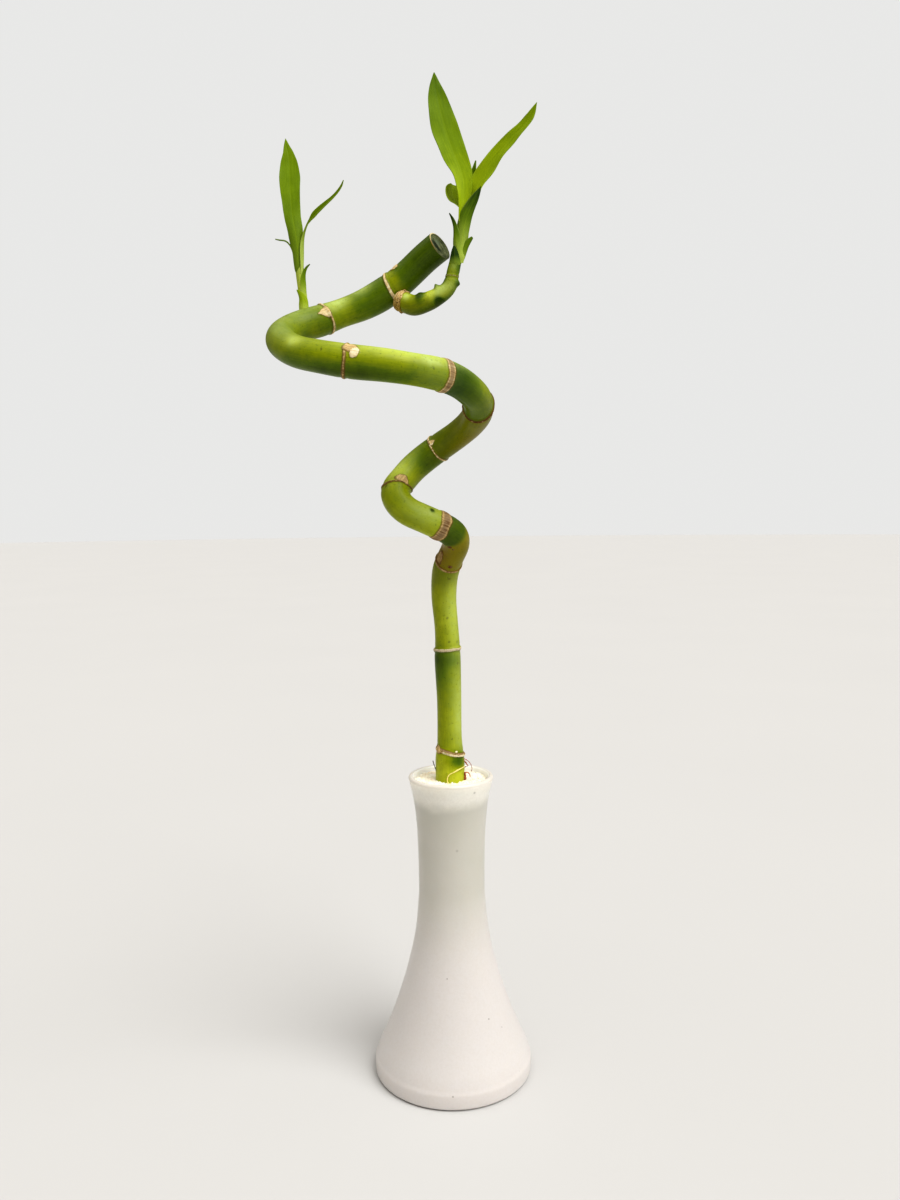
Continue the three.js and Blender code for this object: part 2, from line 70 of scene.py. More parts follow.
# The outer wall from the band round the foot to the rim, as radius and height
VASE_LINE = (
    (38.45, 8.6),
    (36.8, 13.0),
    (33.4, 20.5),
    (28.9, 32.0),
    (22.9, 51.0),
    (18.5, 70.0),
    (16.6, 88.0),
    (16.4, 98.0),
    (16.8, 120.0),
    (18.1, 135.5),
    (20.1, 145.3),
    (20.9, VASE_HEIGHT - WALL / 2),
)

# Small dark marks on the vase: x, y, z, their radius and how dark they are from 0 to 1
VASE_SPECKS = (
    (-2.7, -21.6, 55.6, 0.45, 0.6),
    (17.3, -21.8, 35.4, 0.5, 0.7),
    (23.7, -18.2, 29.3, 0.4, 0.5),
    (32.2, -21.6, 8.8, 0.5, 0.6),
    (-0.4, -39.0, 7.1, 0.55, 0.6),
    (2.7, -16.5, 116.9, 0.9, 0.25),
    (11.3, -16.7, 145.4, 0.9, 0.35),
)

# The cane from its foot in the gravel to its cut end: x, y, z and its diameter there
CANE_LINE = (
    # straight stem
    (-0.4, 0, 45, 13.8),
    (-0.3, 0, 149, 14.2),
    (-0.3, 0, 160, 14.1),
    (-0.3, 0, 163.5, 12.6),
    (-0.4, 0, 170, 11.9),
    (-0.4, 0, 187, 11.9),
    (-1, 0, 209, 12.7),
    (-1, 0, 216, 11.9),
    (-1.5, 0, 225, 11.5),
    (-2.5, -1, 238, 12),
    (-2, -4, 248, 12.6),
    # first bend to the right, coming forward
    (-1, -7, 253, 12.9),
    (1.5, -11.5, 259, 12.3),
    (3.5, -15.5, 263.5, 12.6),
    (3, -19.5, 268, 13),
    # first pass across the front, to the left
    (-0.5, -23, 271, 13.1),
    (-5.5, -25.5, 273.5, 13),
    (-12, -27, 276.5, 12.9),
    (-18.5, -27, 279.5, 13),
    # first bend to the left, going back
    (-23, -25, 284, 13.2),
    (-24.2, -21.5, 288.8, 13.6),
    (-21, -18, 293.6, 13),
    # first pass behind, to the right
    (-16, -14.5, 299.5, 13.1),
    (-10, -13.5, 304.5, 13.2),
    (-3.5, -15.5, 309, 13),
    (4.5, -21.5, 314, 12.6),
    # second bend to the right, coming forward
    (10.5, -29.5, 318.5, 12.8),
    (13.5, -39, 322.5, 13.2),
    (13, -48, 326.5, 12.8),
    (9.5, -56.5, 329.5, 12.8),
    # second pass across the front, to the left
    (4, -63, 332.5, 13),
    (-3, -68, 334.5, 13.4),
    (-13, -71.5, 336, 12.9),
    (-25, -74, 337.5, 13.3),
    (-38, -73.5, 339, 13.7),
    (-52, -69, 342, 13.2),
    # second bend to the left, going back
    (-60.5, -64, 344.5, 13.1),
    (-66.5, -58, 348, 13),
    (-70, -50.5, 352.3, 13),
    (-68, -43.5, 356.6, 13.1),
    # last pass, to the right and up
    (-62, -37.5, 360.5, 13.3),
    (-55, -34, 363, 13.5),
    (-47, -31, 366.5, 12.1),
    (-37, -29, 370.5, 13),
    (-28.5, -28.5, 375, 13.7),
    (-19.5, -29.5, 381, 12.9),
    (-8.5, -33, 390, 12.7),
    (-2.5, -35.5, 394, 12.8),
)
# The buried length has few rows, and the rest one every half millimetre
BURIED = 98.0
BURIED_ROWS = 15
CANE_SIDES = 72
CANE_STEP = 0.5
# A stem's rows stop this far short of the end of its line
END_GAP = 0.01
# How far the cut end leans: how much longer the sides are that face +X, +Y and +Z, for each millimetre of
# radius, and over what length of the cane
CUT_SLOPE = (0.026, 0.17, 0.067)
CUT_REACH = 6.0
# The steps of the cut end from its edge to its middle: how wide each is, and how far it rises
CUT_INSETS = (
    (0.2, 0.1),
    (0.3, -0.05),
    (0.2, -0.3),
    (0.9, -0.18),
    (1.1, 0.06),
    (1.2, 0.03),
    (1.0, -0.06),
)

# Leaf scars that ring the cane: distance along it, half-width of the dry band, height of its ridge, how far
# its line climbs towards +X, +Y and +Z, how much it waves, how brown it is (0 cream, 1 brown, below 0 paler
# still), how deep its stripes are, and how grey it is in its middle. The lowest scar has two bands.
CANE_RINGS = (
    (116.7, 0.42, 0.6, (-1.7, 0.3, 0.0), 0.25, -0.15, 0.0, 0.0),
    (117.7, 0.5, 0.25, (-1.9, 0.3, 0.0), 0.2, 0.6, 0.2, 0.6),
    (167.7, 0.6, 0.7, (0.5, 0.1, 0.0), 0.5, 0.0, 0.0, 0.55),
    (213.2, 0.5, 0.45, (0.1, 1.3, 0.7), 0.15, 0.65, 0.0, 0.0),
    (240.3, 2.0, 0.35, (-0.1, 0.4, 0.2), 0.15, 0.55, 1.0, 0.7),
    (271.8, 0.3, 0.3, (1.8, 0.8, -2.2), 0.1, 0.8, 0.0, 0.0),
    (299.6, 0.5, 0.45, (0.3, 0.5, -0.1), 0.2, 0.25, 0.2, 0.0),
    (338.8, 0.5, 0.7, (0.7, -0.8, 2.9), 0.15, 0.9, 0.0, 0.0),
    (369.7, 1.3, 0.35, (-0.3, 0.6, 0.6), 0.15, 0.35, 0.4, 0.7),
    (409.9, 0.45, 0.35, (0.2, 1.3, 0.2), 0.2, 0.6, 0.0, 0.0),
    (479.6, 0.5, 0.45, (0.6, -0.9, -0.5), 0.25, 0.3, 0.2, 0.0),
    (512.9, 0.7, 0.4, (-0.5, 1.1, 0.8), 0.2, 0.2, 0.0, 0.0),
)
# Seeds of the uneven line, width and ridge of the first ring; each later ring adds one
LINE_SEED, WIDTH_SEED, RIDGE_SEED = 31, 91, 57
# Further than this from a ring, the skin's paint no longer needs to know how far it is
RING_REACH = 12.0
# The colour of each length between two rings, from 0 pale yellow-green to 1 deep green, at its foot and its
# top, the same for a brown-olive tinge, and the share of the length where one passes into the other, and how
# softly
CANE_SHADES = (
    (0.14, 0.26, 0.0, 0.1, 0.6, 0.3),
    (0.3, 0.3, 0.5, 0.5, 0.5, 0.4),
    (0.38, 0.54, 0.1, 0.1, 0.6, 0.45),
    (0.34, 0.44, 0.15, 0.2, 0.6, 0.4),
    (0.42, 0.88, 1.0, 0.1, 0.66, 0.06),
    (0.3, 0.44, 0.0, 0.08, 0.5, 0.45),
    (0.36, 0.62, 0.0, 0.15, 0.55, 0.35),
    (0.66, 0.6, 0.35, 0.6, 0.5, 0.4),
    (0.7, 0.95, 0.15, 0.0, 0.6, 0.3),
    (0.32, 0.39, 0.0, 0.05, 0.5, 0.4),
    (0.4, 0.6, 0.0, 0.1, 0.5, 0.45),
    (0.46, 0.76, 0.0, 0.1, 0.5, 0.4),
    (0.64, 0.88, 0.05, 0.1, 0.4, 0.4),
)
# Dry bud scars on the cane: distance along it, the way each faces, length, width, how pointed it is from -1
# (point down) to 1 (point up), how brown it is, and how far it stands up
CANE_BUDS = (
    (118.7, (-0.85, -0.5, 0.0), 4.6, 7.0, 0.9, 0.5, 0.3),
    (117.7, (0.5, -0.86, 0.0), 0.9, 1.6, 0.0, -0.2, 0.15),
    (217.0, (-0.86, -0.5, -0.07), 7.5, 5.0, 0.5, 0.7, 0.45),
    (229.4, (-0.4, -0.58, -0.71), 2.5, 2.3, 0.0, 1.0, 0.1),
    (227.2, (-0.2, -0.75, -0.6), 1.2, 1.2, 0.0, 0.8, 0.1),
    (215.0, (0.2, -0.97, 0.0), 1.8, 2.2, 0.0, 0.9, 0.1),
    (273.2, (0.34, -0.84, 0.42), 5.0, 8.8, 0.5, 0.5, 0.3),
    (301.4, (-0.58, -0.77, 0.27), 4.4, 4.4, 1.0, 0.25, 0.3),
    (407.6, (0.0, -0.7, 0.7), 5.5, 5.0, 0.0, 0.45, 0.3),
    (405.2, (0.0, -0.88, 0.44), 3.8, 6.4, -0.3, 0.1, 0.4),
    (478.0, (0.28, -0.9, 0.34), 6.6, 8.0, -1.0, 0.3, 0.35),
    (519.2, (-0.55, -0.58, 0.6), 5.0, 3.2, -0.8, 0.25, 0.5),
)
# Patches where the skin is darker (above 0) or lighter: distance along the cane, the way each faces, length,
# width in degrees, the change of shade, of olive tinge and of whitish bloom and painted highlight, and how
# far it swells. Some are marks of the skin itself; others are painted highlights and painted shade, as noted.
CANE_PATCHES = (
    (113.6, (0.64, -0.77, 0.0), 3.8, 40, 0.58, -0.2, -0.6, 0.0),
    (106.0, (0.5, -0.8, 0.0), 4.0, 50, -0.25, 0.0, 0.0, 0.0),
    (160.0, (-0.8, -0.6, 0.0), 12.0, 55, 0.25, 0.0, 0.0, 0.0),
    (163.0, (0.0, -1.0, 0.0), 4.0, 70, 0.2, 0.0, 0.0, 0.0),
    # Whitish right side: painted highlight where the light comes from the right
    (138.0, (0.85, -0.5, 0.0), 20.0, 46, -0.15, 0.0, 0.8, 0.0),
    # The same higher up: painted highlight on the right side
    (188.0, (0.7, -0.7, 0.0), 20.0, 42, -0.15, -0.1, 0.65, 0.0),
    (206.0, (-0.6, -0.7, 0.0), 8.0, 70, 0.1, 0.2, 0.0, 0.0),
    (220.0, (-0.84, -0.5, 0.0), 8.0, 38, 0.25, 0.5, 0.0, 0.0),
    (246.8, (0.42, -0.61, 0.67), 0.9, 9, 1.0, 0.2, -0.9, 0.05),
    (249.0, (0.1, -0.8, 0.5), 8.0, 50, 0.08, 0.0, 0.65, 0.0),
    (277.0, (-0.4, -0.6, 0.7), 5.0, 55, -0.15, 0.0, 0.1, 0.0),
    (279.0, (-0.5, -0.6, 0.5), 9.0, 50, 0.0, 0.0, 0.5, 0.0),
    (289.0, (0.2, -0.9, -0.3), 8.0, 60, 0.2, 0.0, 0.0, 0.0),
    (318.0, (0.6, -0.6, -0.4), 16.0, 50, 0.0, 0.5, 0.0, 0.0),
    # Lighter, whitish right side of the right bend: painted light
    (350.0, (0.9, -0.3, 0.2), 9.0, 40, -0.25, 0.0, 0.15, 0.0),
    # Pale top of the front pass: painted highlight from the light above
    (383.0, (0.0, -0.4, 0.9), 24.0, 34, -0.3, 0.0, 1.0, 0.0),
    (374.0, (0.0, -0.9, -0.2), 9.0, 70, 0.2, 0.0, 0.25, 0.0),
    # Whitish spot on the front pass: painted highlight
    (377.0, (0.2, -0.85, 0.5), 3.4, 16, -0.1, 0.0, 0.8, 0.0),
    # The next two darken the undersides of the passes: painted shade
    (396.0, (0.0, -0.75, -0.65), 22.0, 42, 0.2, 0.0, 0.0, 0.0),
    (418.0, (-0.1, -0.5, -0.85), 32.0, 42, 0.4, 0.1, -0.1, 0.0),
    # Whitish spot on the left bend: painted highlight
    (432.0, (-0.3, -0.7, 0.6), 3.4, 24, -0.25, 0.0, 0.7, 0.0),
    (446.0, (-0.2, -0.2, 0.95), 15.0, 65, 0.1, 0.12, 0.4, 0.0),
    (468.0, (0.0, -0.3, 0.95), 12.0, 60, 0.0, 0.05, 0.45, 0.0),
    # The next two whitish spots on the last pass: painted highlights
    (486.0, (-0.1, -0.75, 0.6), 5.5, 28, -0.15, 0.0, 1.3, 0.0),
    (500.0, (0.0, -0.5, 0.85), 5.0, 26, -0.05, 0.0, 0.8, 0.0),
    (515.5, (-0.1, -0.9, 0.2), 3.0, 60, -0.3, 0.1, 0.0, 0.0),
)
# Tiny dark marks: distance along the cane, the way each faces, and size
CANE_SPECKS = (
    (171.6, (0.15, -1.0, 0.0), 0.45),
    (171.3, (0.8, -0.6, 0.0), 0.4),
    (183.5, (0.15, -1.0, 0.0), 0.5),
    (207.0, (0.3, -0.9, 0.0), 0.6),
    (161.0, (0.75, -0.65, 0.0), 0.4),
    (124.0, (0.2, -1.0, 0.0), 0.35),
    (268.0, (-0.5, -0.8, 0.0), 0.5),
    (376.0, (0.2, -0.9, 0.1), 0.35),
    (418.0, (-0.2, -0.9, 0.35), 0.4),
)

# Leafy shoots. A stem's line gives x, y, z and its diameter. A leaf's line gives x, y, z, its width there,
# and how far its section bends to each side, in radians: above 0 it is hollow on its inner side.
LEFT_STEM = (
    (-61.5, -37.4, 362.5, 3.2),
    (-61.6, -37, 366, 3.3),
    (-62.3, -36, 373, 3.5),
    (-63.2, -35.5, 380.5, 3.6),
    (-63.9, -35.1, 388, 3.7),
    (-64.4, -34.9, 395, 3.3),
    (-64.9, -34.9, 399.5, 1.9),
    (-65.2, -34.9, 402.5, 0.6),
)
LEFT_LARGE_LEAF = (
    (-64, -36.6, 382, 2.2, -0.6),
    (-64, -37.2, 387.4, 3.6, -1.0),
    (-64.0, -37.2, 392.4, 4.6, -1.2),
    (-64.4, -37.1, 396.7, 5.4, -1.2),
    (-65.1, -36.4, 401.1, 6.3, -0.8),
    (-66.4, -34.2, 408, 7.2, -0.1),
    (-67.1, -32.7, 414.8, 7.9, 0.12),
    (-67.7, -31, 421.7, 8.8, 0.16),
    (-67.8, -30.2, 425.5, 9, 0.16),
    (-68.1, -28.8, 431.7, 7.3, 0.16),
    (-68.5, -28.1, 435.9, 4.8, 0.16),
    (-69.2, -27.5, 439, 2.6, 0.3),
    (-69.8, -26.8, 442.7, 0.15, 0.3),
)
LEFT_NARROW_LEAF = (
    (-62.2, -35.6, 380.5, 2.4, 1.1),
    (-62, -35.6, 385.2, 3, 1.3),
    (-61.8, -35.6, 389.4, 3.4, 1.45),
    (-61.7, -35.7, 393.6, 3.3, 1.5),
    (-61.5, -35.9, 396.9, 2.5, 1.5),
    (-60.8, -36.5, 400.1, 1.7, 1.3),
    (-59.6, -37.3, 402.8, 1.2, 0.9),
    (-58.1, -38.2, 404.7, 1.5, 0.6),
    (-56.2, -39.3, 406.6, 2.4, 0.45),
    (-53.8, -40.4, 408.4, 2.3, 0.45),
    (-51, -41.5, 410.4, 1.8, 0.5),
    (-47.8, -42.8, 412.6, 1.3, 0.5),
    (-45.1, -44, 415, 1, 0.5),
    (-43.6, -44.8, 416.9, 0.7, 0.4),
    (-42.8, -45.4, 418.7, 0.2, 0.3),
)
LEFT_CURLED_LEAF = (
    (-64.9, -35.1, 386, 1.8, 1.2),
    (-65.9, -35.2, 390.5, 1.5, 1),
    (-67.1, -35.5, 394, 1.2, 0.9),
    (-68.3, -36, 395.7, 1, 0.7),
    (-69.6, -36.8, 396.4, 0.9, 0.6),
    (-71.4, -37.9, 396.3, 1, 0.5),
    (-73.2, -39, 396.5, 0.3, 0.4),
)
LEFT_FOOT_SHEATH = (
    (-61.9, -38.6, 364.4, 3.7, 1.5),
    (-62.1, -38.5, 367.8, 3.9, 1.5),
    (-62.3, -38.3, 370.6, 3.8, 1.45),
    (-62.9, -38, 372.6, 3.2, 1.35),
    (-63.8, -37.6, 374.2, 2, 1.1),
    (-64.7, -37, 375.6, 0.3, 0.8),
)
LEFT_POINTED_SHEATH = (
    (-61, -36.6, 369.5, 2.9, 1.4),
    (-61, -36.6, 373.6, 3.3, 1.5),
    (-61.1, -36.3, 377.5, 3.4, 1.5),
    (-61.3, -36, 380.8, 3, 1.45),
    (-61.1, -36, 383.2, 2.1, 1.3),
    (-60.5, -36, 385, 1.4, 1.1),
    (-59.7, -36.1, 386, 0.9, 0.8),
    (-59, -36.2, 386.7, 0.2, 0.6),
)
RIGHT_STEM = (
    (-20.4, -31.8, 373.6, 6.6),
    (-18.4, -33, 371.3, 8.2),
    (-16.7, -34, 370, 8.7),
    (-14.2, -35.2, 368.9, 8.8),
    (-11.4, -36.5, 369.1, 8.6),
    (-7.6, -38, 370.1, 8.2),
    (-4.1, -39.2, 371.4, 7.5),
    (0.7, -40.6, 374.5, 6.6),
    (2, -41, 376.8, 6.2),
    (2.8, -41.3, 380, 5.7),
    (4, -41.7, 385, 5.2),
    (5.7, -41.2, 392.3, 4.5),
    (7.1, -40.7, 398.7, 4),
    (8.3, -40.2, 403.5, 2.8),
    (9.1, -39.9, 407, 1),
)
RIGHT_BROAD_LEAF = (
    (7.3, -41, 401, 3.4, 1.4),
    (7.7, -41, 405.5, 4, 1.3),
    (8, -40.6, 409.5, 4.7, 1.05),
    (8.2, -40.1, 413.5, 5.4, 0.8),
    (8.2, -39.4, 418, 6.8, 0.55),
    (7.2, -38.2, 424, 8.8, 0.3),
    (3.6, -36, 433.5, 11.2, 0.2),
    (0.5, -34.3, 442.5, 12, 0.16),
    (-1.9, -32.3, 452.4, 10.3, 0.16),
    (-3.6, -30.4, 461.7, 6, 0.16),
    (-4.3, -29, 468.9, 0.2, 0.3),
)
RIGHT_ARCHED_LEAF = (
    (9.2, -38.6, 404, 1.4, 1.4),
    (11.2, -38.9, 410.4, 3.6, 1.15),
    (14.4, -39.9, 418.8, 7, 0.75),
    (19, -41.4, 425.6, 6.9, 0.5),
    (23.2, -42.6, 430.6, 6.4, 0.4),
    (28.4, -44, 436, 5.3, 0.35),
    (33.2, -45.4, 440.1, 4.6, 0.3),
    (35.8, -46.3, 443.2, 3.6, 0.3),
    (38.6, -47.5, 448.4, 0.15, 0.3),
)
RIGHT_ROLLED_LEAF = (
    (9.8, -37.4, 410, 2.2, 1.9),
    (11, -37.2, 417, 2.1, 1.8),
    (12.2, -37.2, 423.6, 1.9, 1.5),
    (13.3, -37.2, 429, 0.2, 1.2),
)
RIGHT_FOLDED_SHEATH = (
    (5.9, -43, 387, 4.2, 1.5),
    (6.8, -43.2, 391, 4.7, 1.55),
    (7.3, -43.3, 394.5, 5, 1.6),
    (7.7, -43.3, 398.3, 5.2, 1.6),
    (8.5, -43.2, 401.7, 5.3, 1.5),
    (9.5, -43, 405, 5.2, 1.35),
    (11.2, -42.6, 408.6, 4.4, 1.15),
    (13.3, -42.5, 412.4, 3.1, 0.9),
    (15.4, -42.1, 416.6, 0.3, 0.7),
)
RIGHT_ROUNDED_LEAF = (
    (8, -38, 408, 2.4, 1),
    (5.6, -35.4, 412, 5, 0.9),
    (3.9, -34.2, 414.4, 6.8, 0.8),
    (3.3, -33.2, 416.6, 7.2, 0.7),
    (3.2, -32.2, 418.8, 6.4, 0.6),
    (3.5, -31, 421, 2.6, 0.5),
)
RIGHT_NARROW_SHEATH = (
    (5.2, -43.6, 385, 4.6, 1.5),
    (5.2, -43.6, 388.4, 4.4, 1.5),
    (4.9, -43.6, 391.3, 4.1, 1.5),
    (4.5, -43.4, 394.2, 3.4, 1.4),
    (4.2, -43.1, 397.6, 2.6, 1.3),
    (3.8, -42.8, 400.4, 2, 1.1),
    (3, -42.6, 403, 1.5, 1),
    (1.8, -42.5, 405.6, 0.4, 0.8),
)
RIGHT_BLUNT_SHEATH = (
    (5.9, -43.1, 385.5, 3.9, 1.5),
    (7, -43, 388, 3.6, 1.5),
    (8.2, -42.9, 390.5, 3.1, 1.35),
    (9.5, -42.8, 392.7, 2.5, 1.2),
    (10.6, -42.7, 394.3, 2, 1),
    (11.5, -42.6, 395.5, 1, 0.8),
)
RIGHT_CLASPING_SHEATH = (
    (3.9, -44.3, 382.6, 5, 1.5),
    (4, -44.5, 385.4, 4.6, 1.45),
    (3.9, -44.5, 387.8, 3.7, 1.35),
    (3.7, -44.3, 389.8, 2.3, 1.15),
    (3.6, -44.1, 391.6, 0.4, 0.9),
)
# Each leaf: its piece, its node, its line, the way its inner side faces at its foot and at its tip, the
# shares of its length between which it turns from one to the other, how dark its foot and its tip are from 0
# to 1, how whitish its foot is, how pale its edges are, and how much they wave
LEAVES = (
    (
        "leaf_left_large", "shoot_left", LEFT_LARGE_LEAF,
        (0.1, -1, 0.1), (0.15, -1, 0.1), (0, 1), (0.58, 0.42), 0.12, 0.1, 0.1,
    ),
    (
        "leaf_left_narrow", "shoot_left", LEFT_NARROW_LEAF,
        (-1, -0.2, 0.1), (0.3, -0.85, 0.45), (0.42, 0.62), (0.4, 0.5), 1.25, 0.4, 0.05,
    ),
    (
        "leaf_left_curled", "shoot_left", LEFT_CURLED_LEAF,
        (0.9, 0.3, 0.3), (-0.3, -0.3, 1), (0.2, 0.6), (0.35, 0.9), 0.3, 0.4, 0.0,
    ),
    (
        "leaf_right_broad", "shoot_right", RIGHT_BROAD_LEAF,
        (0.1, -1, 0.1), (0.25, -1, 0.15), (0, 1), (0.06, 0.66), 0.0, 0.1, 0.12,
    ),
    # Its light tone is partly painted light, standing for the glow of a backlit leaf
    (
        "leaf_right_arched", "shoot_right", RIGHT_ARCHED_LEAF,
        (-0.6, -0.8, 0), (0.1, -0.85, 0.5), (0.05, 0.5), (0.07, 0.32), 0.0, 0.15, 0.14,
    ),
    (
        "leaf_right_rolled", "shoot_right", RIGHT_ROLLED_LEAF,
        (0, -1, 0), (0, -1, 0), (0, 1), (0.35, 0.7), 0.0, 0.1, 0.0,
    ),
    # Painted lighter than its own green: painted light where it lies in shade
    (
        "leaf_right_rounded", "shoot_right", RIGHT_ROUNDED_LEAF,
        (0.35, -1, 0.2), (0.35, -1, 0.2), (0, 1), (0.22, 0.16), 0.15, 0.25, 0.1,
    ),
    (
        "sheath_left_foot", "shoot_left", LEFT_FOOT_SHEATH,
        (0.1, 1, 0), (0.7, 0.7, 0), (0.4, 1), (0.0, 0.3), 1.1, 0.9, 0.0,
    ),
    (
        "sheath_left_pointed", "shoot_left", LEFT_POINTED_SHEATH,
        (-1, 0.3, 0), (-1, 0.3, 0), (0, 1), (0.05, 0.75), 1.0, 0.3, 0.0,
    ),
    (
        "sheath_right_folded", "shoot_right", RIGHT_FOLDED_SHEATH,
        (-0.15, 1, 0), (-0.5, 0.8, 0.1), (0.3, 1), (0.12, 1.08), 0.7, 0.6, 0.0,
    ),
    (
        "sheath_right_narrow", "shoot_right", RIGHT_NARROW_SHEATH,
        (0.3, 1, 0), (0.8, 0.5, 0), (0.3, 1), (0.12, 1.05), 0.7, 0.9, 0.0,
    ),
    (
        "sheath_right_blunt", "shoot_right", RIGHT_BLUNT_SHEATH,
        (-0.35, 1, 0), (-0.6, 0.7, 0.3), (0.2, 1), (0.4, 0.7), 0.4, 0.4, 0.0,
    ),
    (
        "sheath_right_clasping", "shoot_right", RIGHT_CLASPING_SHEATH,
        (0, 1, 0), (0.1, 1, 0), (0, 1), (0.28, 1.6), 0.35, 0.1, 0.0,
    ),
)
# How finely a blade is divided: columns across it, and the length of a row
BLADE_COLUMNS = 18
BLADE_STEP = 0.6

# Rings, shades and patches of the shoots' stems, as on the cane; some of the right stem's patches are painted
# highlights and painted shade
LEFT_STEM_SHADES = ((0.0, 0.3, 0.0, 0.0, 0.35, 0.3),)
LEFT_STEM_PATCHES = (
    (5.0, (0.2, -1, 0), 6.0, 160, 0.1, 0.0, 0.6, 0.0),
    (24.0, (0.2, -1, 0), 11.0, 160, 0.1, 0.0, 0.8, 0.0),
)
RIGHT_STEM_RINGS = ((31.5, 0.07, 0.05, (0.4, 0.0, 0.0), 0.15, 0.0, 0.0, 0.0),)
RIGHT_STEM_SHADES = (
    (0.28, 0.4, 0.12, 0.0, 0.5, 0.5),
    (0.4, 0.85, 0.0, 0.0, 0.25, 0.22),
)
RIGHT_STEM_PATCHES = (
    # Whitish patch on the top of the foot's globe: painted highlight
    (5.2, (-0.2, -0.75, 0.6), 2.0, 24, -0.3, -0.35, 1.2, 0.1),
    (8.0, (-0.4, -0.6, -0.7), 7.0, 70, 0.15, 0.22, 0.0, 0.0),
    (13.4, (-0.36, -0.4, 0.85), 1.7, 55, 0.85, 0.0, 0.0, 0.6),
    (15.4, (-0.36, -0.6, 0.7), 1.6, 40, 0.3, 0.0, 0.0, -0.3),
    # Lighter top: painted light
    (18.4, (-0.3, -0.75, 0.55), 3.0, 40, -0.4, -0.1, 0.25, 0.1),
    # Dark patch under a knuckle: painted shadow, over a real dent
    (20.6, (-0.25, -0.45, -0.88), 1.5, 38, 1.2, 0.0, -0.5, -0.2),
    (17.2, (-0.25, -0.7, -0.65), 1.6, 45, 0.1, 0.1, 0.0, 0.35),
    (22.4, (-0.56, -0.2, 0.8), 1.1, 26, 0.6, 0.0, 0.0, 1.5),
    # Whitish patch: painted highlight
    (23.6, (-0.3, -0.9, 0.25), 4.0, 42, -0.25, 0.0, 1.25, 0.0),
    # Whitish patch: painted highlight
    (27.5, (0.1, -0.98, -0.15), 2.6, 40, 0.0, 0.0, 0.45, 0.0),
    # Darker underside: painted shade
    (14.0, (0.1, -0.2, -0.98), 12.0, 34, 0.5, 0.1, 0.0, 0.0),
    (29.2, (0.95, -0.3, -0.1), 1.0, 32, 0.6, 0.0, 0.0, 1.1),
    (28.0, (-0.9, -0.1, 0.3), 6.0, 40, 0.45, 0.0, 0.0, 0.0),
    (37.0, (0.9, -0.3, 0.0), 5.0, 50, 0.45, 0.0, 0.0, 0.0),
    (35.5, (-0.1, -1.0, 0.0), 2.6, 30, 0.0, 0.0, 0.35, 0.0),
    (47.0, (0.0, -1.0, 0.0), 8.0, 120, 0.0, 0.0, 0.35, 0.0),
)
# Each stem: its piece, its node, its line, the faces round it, the length of a row, and its skin
STEMS = (
    (
        "stem_left", "shoot_left", LEFT_STEM, 32, 0.4,
        (), LEFT_STEM_SHADES, LEFT_STEM_PATCHES,
    ),
    (
        "stem_right", "shoot_right", RIGHT_STEM, 64, 0.3,
        RIGHT_STEM_RINGS, RIGHT_STEM_SHADES, RIGHT_STEM_PATCHES,
    ),
)

# The dry collar round the foot of the right shoot: its centre and the way it faces
COLLAR_CENTRE = (-19.1, -32.8, 371.2)
COLLAR_FACES = (0.8, -0.44, -0.4)
# The collar's section, from its foot over the lip and back: distance ahead of the centre and radius
COLLAR_SECTION = (
    (-2.2, 4.0),
    (-1.6, 4.4),
    (-0.9, 4.7),
    (-0.2, 4.8),
    (0.4, 4.7),
    (0.9, 4.5),
    (1.1, 4.3),
    (0.7, 4.1),
    (-0.6, 3.9),
    (-1.9, 3.8),
)
COLLAR_SIDES = 96
COLLAR_ROWS = 40
COLLAR_FLAKES = 26
FLAKE_THICKNESS = 0.35
FLAKE_SEED = 23

# Roots at the lowest leaf scar, each a bent thread: x, y, z and its diameter
FRONT_ROOT = (
    (6.8, -3.2, 154.7, 0.41),
    (5, -5.7, 154.4, 0.48),
    (2.8, -7.1, 153.6, 0.85),
    (1.4, -7.6, 152.9, 0.46),
    (-0.4, -7.8, 152.1, 0.5),
    (-1.4, -7.9, 150.9, 0.46),
    (-1.7, -8, 149.1, 0.5),
    (-1.2, -8.1, 147.4, 0.48),
    (-0.8, -8.1, 145, 0.44),
)
# The threads of the tuft, each with first how dark its blotches are, from 0 to 1
TUFT_ROOTS = (
    (
        0.6,
        (
            (5.8, -1.2, 158.4, 0.48),
            (7.2, -1.3, 157.9, 0.37),
            (8.8, -1.3, 156.8, 0.31),
            (10.1, -1.2, 154.9, 0.29),
            (10.5, -1.1, 152.9, 0.27),
            (10.1, -1.1, 151.6, 0.24),
        ),
    ),
    (
        0.5,
        (
            (6.2, -1.4, 157.6, 0.34),
            (7.4, -1.6, 156.4, 0.68),
            (8.1, -1.5, 155.1, 0.54),
            (8.7, -1.4, 154.6, 0.27),
        ),
    ),
    (
        0.9,
        (
            (5.6, -2.2, 153.7, 0.41),
            (6.8, -2.2, 154.1, 0.41),
            (7.8, -2, 154.6, 0.31),
            (8.5, -1.9, 154.5, 0.2),
        ),
    ),
    (
        0.5,
        (
            (5.8, -1.8, 151.4, 0.8),
            (6.9, -1.8, 151.1, 0.8),
            (8.4, -1.7, 151.3, 0.6),
            (9.4, -1.6, 150.3, 0.5),
            (9.5, -1.6, 148.8, 0.4),
        ),
    ),
    (
        0.75,
        (
            (6.8, -2.1, 151.2, 0.8),
            (7.2, -2.1, 149.6, 1.1),
            (6.9, -2.1, 147.8, 1.2),
            (6.6, -2.1, 145.2, 1.2),
        ),
    ),
)
LEFT_ROOT = (
    (-8.7, -2, 157.5, 0.3),
    (-8.5, -2, 156.5, 0.48),
    (-8.2, -2, 155.5, 0.42),
    (-7.6, -2, 153.8, 0.38),
    (-7, -1.8, 151.9, 0.34),
    (-6.6, -1.6, 150, 0.34),
)
